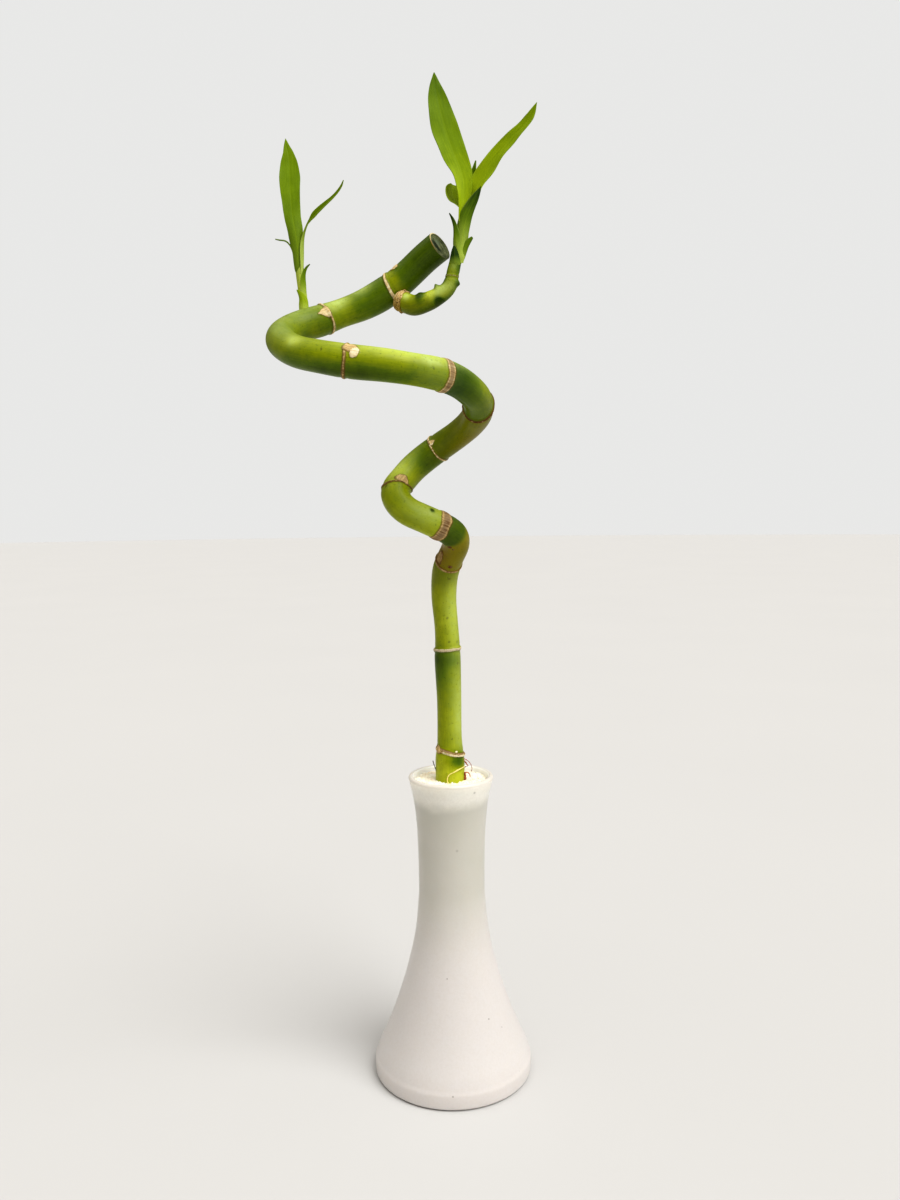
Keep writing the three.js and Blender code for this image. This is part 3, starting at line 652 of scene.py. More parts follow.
# Each root: its piece, its node, its slot, its threads, its pale and its dark colour, and how speckled it is
ROOTS = (
    (
        "root_yellow", "root_front", "yellow_root", ((0.2, FRONT_ROOT),),
        (242, 230, 140), (206, 180, 50), 0.4,
    ),
    (
        "root_brown", "root_tuft", "brown_root", TUFT_ROOTS,
        (216, 128, 70), (112, 36, 4), 0.8,
    ),
    (
        "root_grey", "root_left", "grey_root", ((0.7, LEFT_ROOT),),
        (128, 116, 104), (48, 40, 38), 0.6,
    ),
)
THREAD_SIDES = 12
THREAD_STEP = 0.15

# The floor's radius and how far it lies under the vase, in metres
STAGE_RADIUS = 12.0
STAGE_DROP = 0.0005
# Each soft light: where it comes from, and how wide it is in degrees
KEY_LIGHT = ((0.5, -0.42, 0.76), 42.0)
TOP_LIGHT = ((-0.1, -0.15, 1.0), 90.0)

# The photograph's frame in pixels and the camera that took it, whose place is in metres
FRAME_WIDTH = 900
FRAME_HEIGHT = 1200
FOCAL_PIXELS = 950.0
SENSOR = 36.0
CAMERA_PLACE = (0.00045, -0.460, 0.2776)
CAMERA_DIP = math.radians(5.11)
CAMERA_ROLL = math.radians(-0.55)

# Corners that are nearer than this, in metres, are one
MERGE_GAP = 2e-6


def from_screen(red, green, blue):
    """A colour as a screen gives it, from 0 to 255, as Blender's own light values."""
    shares = (red / 255, green / 255, blue / 255)
    return tuple(s / 12.92 if s <= 0.04045 else ((s + 0.055) / 1.055) ** 2.4 for s in shares)


def tones(*rows):
    """A ramp's stops, from rows of a place and a colour as a screen gives it."""
    return [(place, from_screen(*colour)) for place, *colour in rows]


def colour_setting(name, description, red, green, blue):
    return bpy.props.FloatVectorProperty(
        name=name,
        description=description,
        default=from_screen(red, green, blue),
        size=3,
        min=0.0,
        max=1.0,
        subtype="COLOR",
    )


def share_setting(name, description, default):
    return bpy.props.FloatProperty(
        name=name, description=description, default=default, min=0.0, max=1.0, subtype="FACTOR"
    )


def length_setting(name, description, millimetres):
    return bpy.props.FloatProperty(
        name=name,
        description=description,
        default=millimetres * MM,
        min=0.0,
        subtype="DISTANCE",
        unit="LENGTH",
    )


def count_setting(name, description, default, lowest, highest):
    return bpy.props.IntProperty(
        name=name, description=description, default=default, min=lowest, max=highest
    )


def strength_setting(name, description, default):
    return bpy.props.FloatProperty(name=name, description=description, default=default, min=0.0)


class BambooVaseSettings(bpy.types.PropertyGroup):
    """The frosted vase."""

    wall: length_setting("Wall", "Thickness of the vase's wall", WALL)
    segments: count_setting("Segments", "Faces round the vase", 128, 24, 256)
    body: colour_setting("Body", "Colour of the frosted wall", 215, 209, 205)
    # The neck's greenish tone is painted shade: the cane's green shadow seen through the thin wall
    shade: colour_setting("Shade", "Greenish tinge of the thin neck", 191, 190, 176)
    lip: colour_setting("Lip", "Colour of the thin rim", 216, 209, 199)
    gloss: share_setting("Roughness", "Roughness of the frosted wall", 0.42)


class BambooGravelSettings(bpy.types.PropertyGroup):
    """The fine white gravel."""

    count: count_setting("Grains", "Loose grains on the gravel's top", 1700, 100, 4000)
    smallest: length_setting("Smallest grain", "Radius of the smallest grain", 0.25)
    largest: length_setting("Largest grain", "Radius of the largest grain", 0.62)
    pale: colour_setting("Pale", "Colour of most grains", 253, 246, 228)
    warm: colour_setting("Warm", "Colour of the warmer grains", 248, 228, 206)


class BambooCaneSettings(bpy.types.PropertyGroup):
    """The skin of the cane."""

    young: colour_setting("Young skin", "Yellow-green of new skin", 190, 199, 46)
    middle: colour_setting("Middle skin", "Green of most of the cane", 138, 150, 8)
    mature: colour_setting("Mature skin", "Green of older skin", 82, 108, 5)
    deep: colour_setting("Deep skin", "Darkest green, under a ring", 40, 68, 2)
    olive: colour_setting("Olive tinge", "Brownish tinge of older lengths", 124, 106, 4)
    # Used for the skin's real waxy bloom and also for painted highlights
    bloom: colour_setting("Bloom", "Whitish green where the skin is waxy", 184, 202, 112)
    cream: colour_setting("Pale dry skin", "Palest parts of the leaf scars", 240, 228, 192)
    tan: colour_setting("Dry skin", "Tan of the leaf scars", 206, 178, 122)
    grey: colour_setting("Grey dry skin", "Weathered middle of the wide leaf scars", 122, 100, 76)
    brown: colour_setting("Brown edge", "Brown of the scars' edges", 96, 62, 24)
    gloss: share_setting("Roughness", "Roughness of the waxy skin", 0.34)


class BambooLeafSettings(bpy.types.PropertyGroup):
    """The leaves and sheaths."""

    base: colour_setting("Leaf base", "Yellow-green at the foot of a leaf", 165, 185, 22)
    middle: colour_setting("Leaf middle", "Green of the blade", 116, 141, 7)
    tip: colour_setting("Leaf tip", "Green of the tip", 80, 106, 5)
    dark: colour_setting("Dark sheath", "Green of the oldest sheaths", 24, 52, 6)
    pale: colour_setting("Pale foot", "Whitish green of a leaf's foot and edges", 180, 196, 102)
    thickness: length_setting("Thickness", "Thickness of a blade", 0.4)
    gloss: share_setting("Roughness", "Roughness of a leaf", 0.5)


class BambooStageSettings(bpy.types.PropertyGroup):
    """Floor and lights."""

    floor: colour_setting("Floor", "Colour of the floor", 196, 195, 193)
    backdrop: colour_setting("Backdrop", "Pale colour seen behind the floor", 216, 216, 215)
    fill: colour_setting("Fill", "Warm white of the light from all round", 255, 246, 232)
    key: strength_setting("Key light", "Strength of the main light", 2.3)
    top: strength_setting("Top light", "Strength of the light above", 1.4)
    surround: strength_setting("Surround", "Strength of the light from all round", 0.26)


class BambooSettings(bpy.types.PropertyGroup):
    """All sizes and colours of the bamboo."""

    vase: bpy.props.PointerProperty(type=BambooVaseSettings)
    gravel: bpy.props.PointerProperty(type=BambooGravelSettings)
    cane: bpy.props.PointerProperty(type=BambooCaneSettings)
    leaf: bpy.props.PointerProperty(type=BambooLeafSettings)
    stage: bpy.props.PointerProperty(type=BambooStageSettings)


def math_operator(operation, swapped=False):
    """An operator of Python on an output socket, which adds a Math node."""

    def operate(wire, other=0.0):
        first, second = (other, wire) if swapped else (wire, other)
        return wire.paint.node("Math", {"operation": operation}, {0: first, 1: second})

    return operate


class Wire:
    """An output socket of a material that Python's operators work on."""

    def __init__(self, paint, socket):
        self.paint = paint
        self.socket = socket

    __add__ = math_operator("ADD")
    __radd__ = math_operator("ADD", swapped=True)
    __sub__ = math_operator("SUBTRACT")
    __rsub__ = math_operator("SUBTRACT", swapped=True)
    __mul__ = math_operator("MULTIPLY")
    __rmul__ = math_operator("MULTIPLY", swapped=True)
    __truediv__ = math_operator("DIVIDE")
    __rtruediv__ = math_operator("DIVIDE", swapped=True)
    __pow__ = math_operator("POWER")
    __abs__ = math_operator("ABSOLUTE")
    least = math_operator("MINIMUM")

    def swing(self, amount):
        """How far the value is above or below its middle, times an amount."""
        return (self - 0.5) * amount


class Paint:
    """A material under construction."""

    def __init__(self, name):
        self.material = bpy.data.materials.new(name)
        self.material.use_nodes = True
        self.tree = self.material.node_tree
        self.tree.nodes.clear()

    def node(self, kind, settings=None, inputs=None, output=0):
        """Adds a node: its settings come first, then the values or links of its sockets."""
        made = self.tree.nodes.new("ShaderNode" + kind)
        for name, value in (settings or {}).items():
            if name == "stops":
                self.set_stops(made.color_ramp, value)
            else:
                setattr(made, name, value)
        for name, value in (inputs or {}).items():
            socket = made.inputs[name]
            if isinstance(value, Wire):
                self.tree.links.new(value.socket, socket)
            elif socket.type == "RGBA":
                socket.default_value = (*value[:3], 1.0)
            else:
                socket.default_value = value
        return Wire(self, made.outputs[output])

    @staticmethod
    def set_stops(ramp, stops):
        while len(ramp.elements) < len(stops):
            ramp.elements.new(1.0)
        for element, (place, colour) in zip(ramp.elements, stops):
            element.position = place
            element.color = (*colour[:3], 1.0)

    def object_place(self):
        return self.node("TexCoord", output="Object")

    def attribute(self, name):
        return self.node("Attribute", {"attribute_name": name}, output="Vector")

    def parts(self, vector):
        split = self.node("SeparateXYZ", inputs={0: vector})
        outputs = split.socket.node.outputs
        return [Wire(self, outputs[axis]) for axis in range(3)]

    def noise(self, vector, scale, detail=2.0, roughness=0.5):
        sockets = {"Vector": vector, "Scale": scale, "Detail": detail, "Roughness": roughness}
        return self.node("TexNoise", {"noise_dimensions": "3D"}, sockets)

    def rise(self, value, low, high):
        """Goes smoothly from 0 at low to 1 at high."""
        sockets = {"Value": value, "From Min": low, "From Max": high}
        return self.node("MapRange", {"interpolation_type": "SMOOTHSTEP"}, sockets)

    def fall(self, value, low, high):
        """Goes smoothly from 1 at low to 0 at high."""
        return 1.0 - self.rise(value, low, high)

    def mix(self, factor, first, second):
        settings = {"data_type": "RGBA", "clamp_factor": True}
        return self.node("Mix", settings, {0: factor, 6: first, 7: second}, output=2)

    def colours(self, value, *stops):
        return self.node("ValToRGB", {"stops": stops}, {0: value})

    def bump(self, height, strength, distance):
        return self.node("Bump", inputs={"Height": height, "Strength": strength, "Distance": distance})

    def finish(self, **sockets):
        inputs = {name.replace("_", " "): value for name, value in sockets.items()}
        shader = self.node("BsdfPrincipled", inputs=inputs)
        output = self.tree.nodes.new("ShaderNodeOutputMaterial")
        self.tree.links.new(shader.socket, output.inputs["Surface"])
        return self.material


def cane_paint(name, skin):
    """The waxy green skin with its dry scars, from the values that a stem's mesh carries."""
    paint = Paint(name)
    gap, band, brown = paint.parts(paint.attribute("marks"))
    olive, scar, dark = paint.parts(paint.attribute("zones"))
    bloom, striped, grey = paint.parts(paint.attribute("bloom"))
    grain = paint.attribute("grain")
    place = paint.object_place()
    fibre = paint.noise(grain, 2.2, 3.0, 0.6)
    strand = paint.noise(grain, 5.0)
    stripes = paint.noise(grain, 1.3, 2.0, 0.6)
    cloud = paint.noise(place, 110.0, 3.0, 0.55)
    mottle = paint.noise(place, 420.0, 2.0, 0.6)
    crumb = paint.noise(place, 1500.0, 2.0, 0.6)
    shade = dark + cloud.swing(0.36) + fibre.swing(0.22) + strand.swing(0.1) + mottle.swing(0.16)
    green = paint.colours(
        shade, (0.05, skin.young), (0.38, skin.middle), (0.68, skin.mature), (1.0, skin.deep)
    )
    tinged = paint.mix(olive * 0.75, green, skin.olive)
    # Whitish waxy bloom, which the patches also use to paint highlights
    waxed_and_highlit = paint.mix(bloom * (mottle + 0.15), tinged, skin.bloom)
    pores = paint.rise(paint.noise(place, 1100.0), 0.6, 0.72)
    skinned = paint.mix(pores * 0.35, waxed_and_highlit, skin.deep)
    # The dry bands, ragged at their edges, with stripes along the cane and a weathered middle
    edge = gap - band + crumb.swing(0.5) + stripes.swing(0.3)
    dry = paint.fall(edge, -0.2, 0.15)
    dryness = brown + stripes.swing(0.9) + crumb.swing(0.5)
    bark = paint.colours(dryness, (0.0, skin.cream), (0.35, skin.tan), (0.95, skin.brown))
    inner = paint.fall(gap / band, 0.4, 0.85)
    greyed = paint.mix(grey * inner * (0.5 + mottle), bark, skin.grey)
    lined = paint.mix(striped * paint.rise(stripes, 0.52, 0.62) * inner * 0.8, greyed, skin.brown)
    # Brown edges round the dry bands: partly the scars' own brown, partly painted shade beside their ridges
    rim = paint.rise(edge, -0.35, -0.05) * paint.fall(edge, 0.1, 0.6)
    stained = paint.mix(rim * (0.35 + brown * 0.5), paint.mix(dry, skinned, lined), skin.brown)
    # The bud scars
    ragged = scar + crumb.swing(0.45) + mottle.swing(0.6)
    bud = paint.rise(ragged, 0.02, 0.12)
    bud_rim = paint.rise(ragged, -0.16, 0.02) * paint.fall(ragged, 0.05, 0.25)
    scarred = paint.mix(bud, stained, bark)
    outlined = paint.mix(bud_rim * (0.3 + brown * 0.6), scarred, skin.brown)
    dull = (dry + bud).least(1.0)
    height = fibre * 0.3 + cloud * 0.3 + dull * (crumb * 1.6 + stripes * 1.2)
    return paint.finish(
        Base_Color=outlined,
        Roughness=skin.gloss + cloud.swing(0.12) + bloom * 0.1 + dull * 0.4,
        Normal=paint.bump(height, 0.35, 0.0002),
        Specular_IOR_Level=0.12,
    )


def cut_paint():
    """The dried face of the cut end: a thin rim round grey-olive pith, a dark cleft of painted shadow and a
    painted highlight.
    """
    paint = Paint("cane_cut")
    front, up, _ = paint.parts(paint.attribute("face"))
    place = paint.object_place()
    crumb = paint.noise(place, 1400.0, 3.0, 0.65)
    cloud = paint.noise(place, 420.0)
    tone = cloud + crumb.swing(0.6)
    pith = paint.colours(tone, *tones((0.25, 62, 72, 42), (0.5, 98, 106, 70), (0.8, 142, 144, 106)))
    # A pale spot on the pith: a painted highlight
    painted_highlight_spot = paint.fall((front * front + (up - 0.3) * (up - 0.3)) ** 0.5 + crumb.swing(0.2), 0.1, 0.4)
    pith_with_painted_highlight = paint.mix(painted_highlight_spot * 0.7, pith, from_screen(112, 128, 102))
    # A dark cleft across the pith: painted shadow
    beside = ((front - 0.35) * 0.4 + up * 0.92) * 2.0
    aside = ((front - 0.35) * 0.92 - up * 0.4) * 4.0
    painted_cleft_shadow = paint.fall((beside * beside + aside * aside) ** 0.5 + crumb.swing(0.6), 0.6, 1.3)
    split = paint.mix(painted_cleft_shadow * 0.95, pith_with_painted_highlight, from_screen(16, 32, 8))
    reach = (front * front + up * up) ** 0.5 + crumb.swing(0.08)
    # The dry rim, cream towards its top and grey-olive lower down, with one side darkened: the cream top is
    # partly a painted highlight, and the darkened side is painted shade
    level = up * 0.5 + 0.5 + crumb.swing(0.3)
    bark = paint.colours(level, *tones((0.2, 96, 96, 66), (0.5, 138, 92, 40), (0.85, 222, 206, 158)))
    shaded = paint.mix(paint.fall(front, -0.5, 0.1) * 0.7, bark, from_screen(48, 58, 34))
    ringed = paint.mix(paint.rise(reach, 0.91, 0.95), split, shaded)
    return paint.finish(
        Base_Color=ringed,
        Roughness=0.85,
        Normal=paint.bump(crumb + cloud, 0.6, 0.0003),
        Specular_IOR_Level=0.2,
    )


def leaf_paint(leaf):
    """Blades and sheaths with fine veins along them."""
    paint = Paint("leaf_green")
    across, along, dark = paint.parts(paint.attribute("blade"))
    under, margin, pale = paint.parts(paint.attribute("sides"))
    grain = paint.attribute("grain")
    place = paint.object_place()
    fibre = paint.noise(grain, 1.5, 3.0, 0.6)
    vein = paint.noise(grain, 4.2, 1.0, 0.4)
    cloud = paint.noise(place, 130.0)
    shade = dark + fibre.swing(0.3) + cloud.swing(0.22) + vein.swing(0.12)
    green = paint.colours(shade, (0.0, leaf.base), (0.35, leaf.middle), (0.68, leaf.tip), (1.0, leaf.dark))
    paler = paint.mix(under * 0.02, green, leaf.pale)
    whitened = paint.mix(pale * (0.5 + fibre * 0.6), paler, leaf.pale)
    edged = paint.mix(margin * (0.25 + 0.4 * vein), whitened, leaf.pale)
    rib = paint.fall(abs(across), 0.0, 0.09) * (1.0 - along)
    ribbed = paint.mix(rib * 0.22, edged, leaf.base)
    return paint.finish(
        Base_Color=ribbed,
        Roughness=leaf.gloss + cloud.swing(0.15) + under * 0.08,
        Normal=paint.bump(vein * 0.8 + fibre * 0.5, 0.3, 0.00015),
        Specular_IOR_Level=0.05,
    )


def scale_paint():
    """Dry brown scales, streaked round the stem: orange-tan above and yellow-brown below."""
    paint = Paint("dry_scale")
    grain = paint.attribute("grain")
    low, _, _ = paint.parts(paint.attribute("blade"))
    place = paint.object_place()
    streak = paint.noise(grain, 2.6, 3.0, 0.65)
    crumb = paint.noise(place, 1300.0, 3.0, 0.6)
    tone = streak * 1.8 - 0.4 + crumb.swing(0.6)
    upper = paint.colours(tone, *tones((0.15, 246, 224, 180), (0.5, 216, 182, 118), (0.9, 122, 86, 40)))
    lower = paint.colours(tone, *tones((0.15, 204, 178, 96), (0.5, 158, 128, 50), (0.9, 104, 72, 24)))
    bark = paint.mix(low, upper, lower)
    cracks = paint.rise(paint.noise(grain, 3.4), 0.55, 0.64)
    cracked = paint.mix(cracks * 0.85, bark, from_screen(84, 36, 12))
    return paint.finish(
        Base_Color=cracked,
        Roughness=0.82,
        Normal=paint.bump(streak + crumb * 0.6, 0.7, 0.0003),
        Specular_IOR_Level=0.2,
    )


def frosted_paint(vase):
    """Frosted glaze, a little see-through: near white, with greenish painted shade in the thin neck and
    creamy under the rim.
    """
    paint = Paint("frosted_white")
    place = paint.object_place()
    east, north, height = paint.parts(place)
    cloud = paint.noise(place, 26.0, 3.0, 0.55)
    drift = paint.noise(place, 60.0)
    sift = paint.noise(place, 900.0, 3.0, 0.6)
    frost = paint.noise(place, 2400.0, 2.0, 0.7)
    # The greener, darker tone of the thin neck is painted shade, standing for the cane's green shadow seen
    # through the wall
    neck = paint.rise(height, 0.05, 0.11)
    body = paint.mix(neck * (0.7 + cloud.swing(0.8)) + drift.swing(0.12), vase.body, vase.shade)
    # Under the rim the gravel lies right behind the wall and shows as a creamy band with a wavy lower border
    border = height + paint.noise(place, 70.0).swing(0.008)
    banded = paint.mix(paint.rise(border, 0.135, 0.1425) * 0.9, body, from_screen(248, 243, 230))
    lipped = paint.mix(paint.rise(height, 0.1476, 0.149) * 0.9, banded, vase.lip)
    grainy = paint.mix(sift.swing(0.5) + 0.06, lipped, from_screen(196, 186, 174))
    # Inside, the wall just above the gravel is painted near white: painted light, as if thrown up by the
    # gravel
    reach = (east * east + north * north) ** 0.5
    inner = paint.rise(height, 0.144, 0.146) * paint.fall(reach, 0.0186, 0.0192)
    painted_gravel_glow = paint.mix(inner, grainy, from_screen(255, 252, 242))
    marks = 0.0
    for x, y, z, size, depth in VASE_SPECKS:
        inputs = {0: place, 1: (x * MM, y * MM, z * MM)}
        off = paint.node("VectorMath", {"operation": "DISTANCE"}, inputs, "Value")
        marks = paint.fall(off, size * MM * 0.4, size * MM) * depth + marks
    specked = paint.mix(marks, painted_gravel_glow, from_screen(104, 88, 78))
    return paint.finish(
        Base_Color=specked,
        Roughness=vase.gloss + frost.swing(0.2) + cloud.swing(0.1),
        Normal=paint.bump(frost * 0.5 + sift + cloud * 4.0, 0.12, 0.0002),
        Subsurface_Weight=0.6,
        Subsurface_Radius=(1.0, 0.9, 0.8),
        Subsurface_Scale=0.007,
        Coat_Weight=0.35,
        Coat_Roughness=0.22,
    )


def gravel_paint(gravel):
    """Fine white gravel with pink and beige grains among it."""
    paint = Paint("gravel_white")
    place = paint.object_place()
    tone = paint.noise(place, 620.0, 1.0, 0.5)
    patch = paint.noise(place, 120.0)
    crumb = paint.noise(place, 2600.0, 2.0, 0.6)
    warmth = paint.rise(tone * 0.6 + patch * 0.5, 0.54, 0.7)
    colour = paint.mix(warmth * 0.7, gravel.pale, gravel.warm)
    return paint.finish(
        Base_Color=colour,
        Roughness=0.75 + crumb.swing(0.3),
        Normal=paint.bump(crumb, 0.4, 0.0002),
    )


def root_paint(name, pale, dark, speckle):
    """The skin of a root: blotched from pale to dark, with fine rings."""
    paint = Paint(name)
    place = paint.object_place()
    stain, _, _ = paint.parts(paint.attribute("stain"))
    blotch = paint.noise(place, 480.0, 2.0, 0.55)
    ring = paint.noise(place, 1700.0, 2.0, 0.6)
    tone = stain + blotch.swing(1.2) + ring.swing(speckle)
    colour = paint.mix(paint.rise(tone, 0.1, 0.9), pale, dark)
    return paint.finish(
        Base_Color=colour, Roughness=0.6 + ring.swing(0.3), Normal=paint.bump(ring, 0.5, 0.00015)
    )


def floor_paint(stage):
    """A plain pale floor with a faint, even grain."""
    paint = Paint("floor_pale")
    cloud = paint.noise(paint.object_place(), 3.0)
    colour = paint.mix(cloud * 0.08, stage.floor, from_screen(228, 226, 222))
    return paint.finish(Base_Color=colour, Roughness=0.9)


def select_only(*pieces):
    """Leaves edit mode and selects these pieces alone, so that an operator acts on nothing else."""
    if bpy.context.object and bpy.context.object.mode != "OBJECT":
        bpy.ops.object.mode_set(mode="OBJECT")
    bpy.ops.object.select_all(action="DESELECT")
    for piece in pieces:
        piece.select_set(True)
    if pieces:
        bpy.context.view_layer.objects.active = pieces[0]


def edit(piece, *steps):
    """Runs operators on all of a piece's mesh in edit mode."""
    select_only(piece)
    bpy.ops.object.mode_set(mode="EDIT")
    bpy.ops.mesh.select_all(action="SELECT")
    for operator, settings in steps:
        operator(**settings)
    bpy.ops.object.mode_set(mode="OBJECT")


def close_up(piece):
    """Merges the corners that meet, and turns every face outwards."""
    edit(
        piece,
        (bpy.ops.mesh.remove_doubles, {"threshold": MERGE_GAP}),
        (bpy.ops.mesh.normals_make_consistent, {"inside": False}),
    )


def named(piece, name):
    """Gives a piece and its mesh one name."""
    piece.name = name
    piece.data.name = name
    return piece


def joined(name, pieces):
    """Makes one piece of several, and names it."""
    select_only(*pieces)
    if len(pieces) > 1:
        bpy.ops.object.join()
    return named(pieces[0], name)


def dress(piece, degrees, *materials):
    """Shades a piece smooth up to an angle, and gives it its materials."""
    select_only(piece)
    bpy.ops.object.shade_smooth_by_angle(angle=math.radians(degrees))
    for material in materials:
        piece.data.materials.append(material)


def hand_over(piece, slot, *nodes):
    """Sets a finished piece on the body it rides on and hides the model's parts that it stands for; slot is
    not used.
    """
    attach(piece, BODY)
    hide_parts(*nodes)


def table_of(collection, name):
    """One vector of each corner of a mesh, as rows of three."""
    flat = np.empty(len(collection) * 3)
    collection.foreach_get(name, flat)
    return flat.reshape(-1, 3)


def places_of(piece):
    """The corners of a piece's mesh, in metres."""
    return table_of(piece.data.vertices, "co")


def set_places(piece, places):
    piece.data.vertices.foreach_set("co", np.ascontiguousarray(places, dtype=float).ravel())
    piece.data.update()


def lay_out(sheet, places, order):
    """Puts the corners of a sheet at places in millimetres that are listed row by row."""
    set_places(sheet, places.reshape(-1, 3)[order] * MM)


def add_values(piece, name, *columns):
    """Gives each corner of a mesh up to three values that a material reads."""
    table = np.zeros((len(piece.data.vertices), 3))
    for number, column in enumerate(columns):
        table[:, number] = column
    values = piece.data.attributes.new(name, "FLOAT_VECTOR", "POINT")
    values.data.foreach_set("vector", table.ravel())


def values_of(piece, name):
    return table_of(piece.data.attributes[name].data, "vector")


def unit(vectors):
    vectors = np.asarray(vectors, dtype=float)
    return vectors / np.linalg.norm(vectors, axis=-1, keepdims=True)


def ease(share):
    """A share from 0 to 1, slow at both ends."""
    share = np.clip(share, 0.0, 1.0)
    return share * share * (3.0 - 2.0 * share)


def ripple(angles, seed, lowest=2, highest=7):
    """A gentle wave round a stem, between about -1 and 1, the same each time for the same seed."""
    dice = random.Random(seed)
    total = np.zeros_like(angles)
    for count in range(lowest, highest + 1):
        total += dice.uniform(0.4, 1.0) / count * np.sin(count * angles + dice.uniform(0.0, 2 * math.pi))
    return total


def cubic(start, end, leave, arrive, share):
    """The curve from start to end that sets out and arrives in given directions."""
    bent = (-3 * start + 3 * end - 2 * leave - arrive) * share**2
    curled = (2 * start - 2 * end + leave + arrive) * share**3
    return start + leave * share + bent + curled


class MeasuredLine:
    """A smooth line through rows of x, y, z and the measures that change along it, such as a diameter."""

    SPAN_STEPS = 48
    EVEN_STEP = 0.5

    def __init__(self, rows, evened=0.0):
        rows = np.array(rows, dtype=float)
        ends = np.vstack([2 * rows[0] - rows[1], rows, 2 * rows[-1] - rows[-2]])
        spans = [self.span(*ends[number : number + 4]) for number in range(len(rows) - 1)]
        self.table = np.vstack([*spans, rows[-1:]])
        steps = np.linalg.norm(np.diff(self.table[:, :3], axis=0), axis=1)
        self.reach = np.concatenate([[0.0], np.cumsum(steps)])
        self.length = float(self.reach[-1])
        if evened:
            self.even_out(evened)

    def span(self, before, start, end, after):
        """The curve between two rows, a centripetal Catmull-Rom spline."""
        pairs = ((before, start), (start, end), (end, after))
        first, middle, last = (np.linalg.norm(b[:3] - a[:3]) ** 0.5 for a, b in pairs)
        straight = (end - start) / middle
        leave = ((start - before) / first - (end - before) / (first + middle) + straight) * middle
        arrive = (straight - (after - start) / (middle + last) + (after - end) / last) * middle
        share = (np.arange(self.SPAN_STEPS) / self.SPAN_STEPS)[:, None]
        return cubic(start, end, leave, arrive, share)

    def even_out(self, reach):
        """Takes small kinks out of the line, and leaves its two ends where they are."""
        count = int(self.length / self.EVEN_STEP) + 2
        distances = np.linspace(0.0, self.length, count)
        half = min(int(3 * reach / self.EVEN_STEP), count - 1)
        offsets = np.arange(-half, half + 1) * self.length / (count - 1)
        weights = np.exp(-0.5 * (offsets / reach) ** 2)
        weights /= weights.sum()
        evened = []
        for column in self.table.T:
            column = np.interp(distances, self.reach, column)
            before = 2 * column[0] - column[half:0:-1]
            after = 2 * column[-1] - column[-2 : -half - 2 : -1]
            evened.append(np.convolve(np.concatenate([before, column, after]), weights, mode="valid"))
        self.table = np.array(evened).T
        self.reach = distances

    def look_up(self, distances):
        return np.array([np.interp(distances, self.reach, column) for column in self.table.T])

    def at(self, distances):
        """Places, directions and measures at distances from the start."""
        nudge = 0.35
        x, y, z, *measures = self.look_up(distances)
        aheads = unit((self.look_up(distances + nudge) - self.look_up(distances - nudge))[:3].T)
        return np.array([x, y, z]).T, aheads, *measures

    def frames(self, distances):
        """Places, directions, side vectors that turn as little as possible, and diameters."""
        centres, aheads, diameters = self.at(distances)
        side = np.array([0.3, -1.0, 0.2])
        sides = np.empty_like(aheads)
        for number, ahead in enumerate(aheads):
            side = unit(side - ahead * (side @ ahead))
            sides[number] = side
        return centres, aheads, sides, diameters


def full_turn(sides):
    """The angles of the corners round a stem, the first again at the end."""
    return np.arange(sides + 1) / sides * 2 * math.pi


def round_line(line, distances, sides):
    """Places and directions along a line, the ways out round it with their angles, and its diameters."""
    centres, aheads, first, diameters = line.frames(distances)
    second = np.cross(aheads, first)
    turns = full_turn(sides)
    outward = first[:, None] * np.cos(turns)[None, :, None] + second[:, None] * np.sin(turns)[None, :, None]
    return centres, aheads, outward, turns, diameters


def add_sheet(name, columns, rows):
    """Adds a grid with a UV map, and tells the number of each of its corners, counted row by row."""
    select_only()
    bpy.ops.mesh.primitive_grid_add(x_subdivisions=columns, y_subdivisions=rows, size=1.0)
    sheet = named(bpy.context.object, name)
    flat = places_of(sheet) + 0.5
    column = np.rint(flat[:, 0] * columns).astype(int)
    row = np.rint(flat[:, 1] * rows).astype(int)
    return sheet, row * (columns + 1) + column


def ring_values(along, outward, angles, rings):
    """What each place has from the rings.

    It gives the distance to the nearest ring's line, that ring's half-width, brown, stripes and grey, how far
    the rings raise the skin, and the line of each ring.
    """
    gap = np.full(along.shape, 1e9)
    values = np.zeros((4, *along.shape))
    lift = np.zeros(along.shape)
    lines = []
    for number, (where, half, ridge, climb, wave, brown, stripes, grey) in enumerate(rings):
        line = where + outward @ np.array(climb) + wave * ripple(angles, LINE_SEED + number)
        lines.append(line)
        off = along - line
        near = np.abs(off) < np.abs(gap)
        gap = np.where(near, off, gap)
        uneven = half * (1.0 + 0.22 * ripple(angles, WIDTH_SEED + number, 3, 9))
        for value, given in zip(values, (uneven, brown, stripes, grey)):
            value[near] = np.broadcast_to(given, along.shape)[near]
        crest = ridge * np.exp(-((off / (half + 0.25)) ** 2))
        raised = crest * (1.0 + 0.25 * ripple(angles, RIDGE_SEED + number, 2, 9))
        groove = 0.14 * np.exp(-(((np.abs(off) - half - 0.9) / 0.5) ** 2))
        furrow = stripes * 0.09 * np.cos(26 * angles) * np.exp(-((off / half) ** 4))
        lift += raised - groove + furrow
    return np.minimum(np.abs(gap), RING_REACH), values, lift, lines


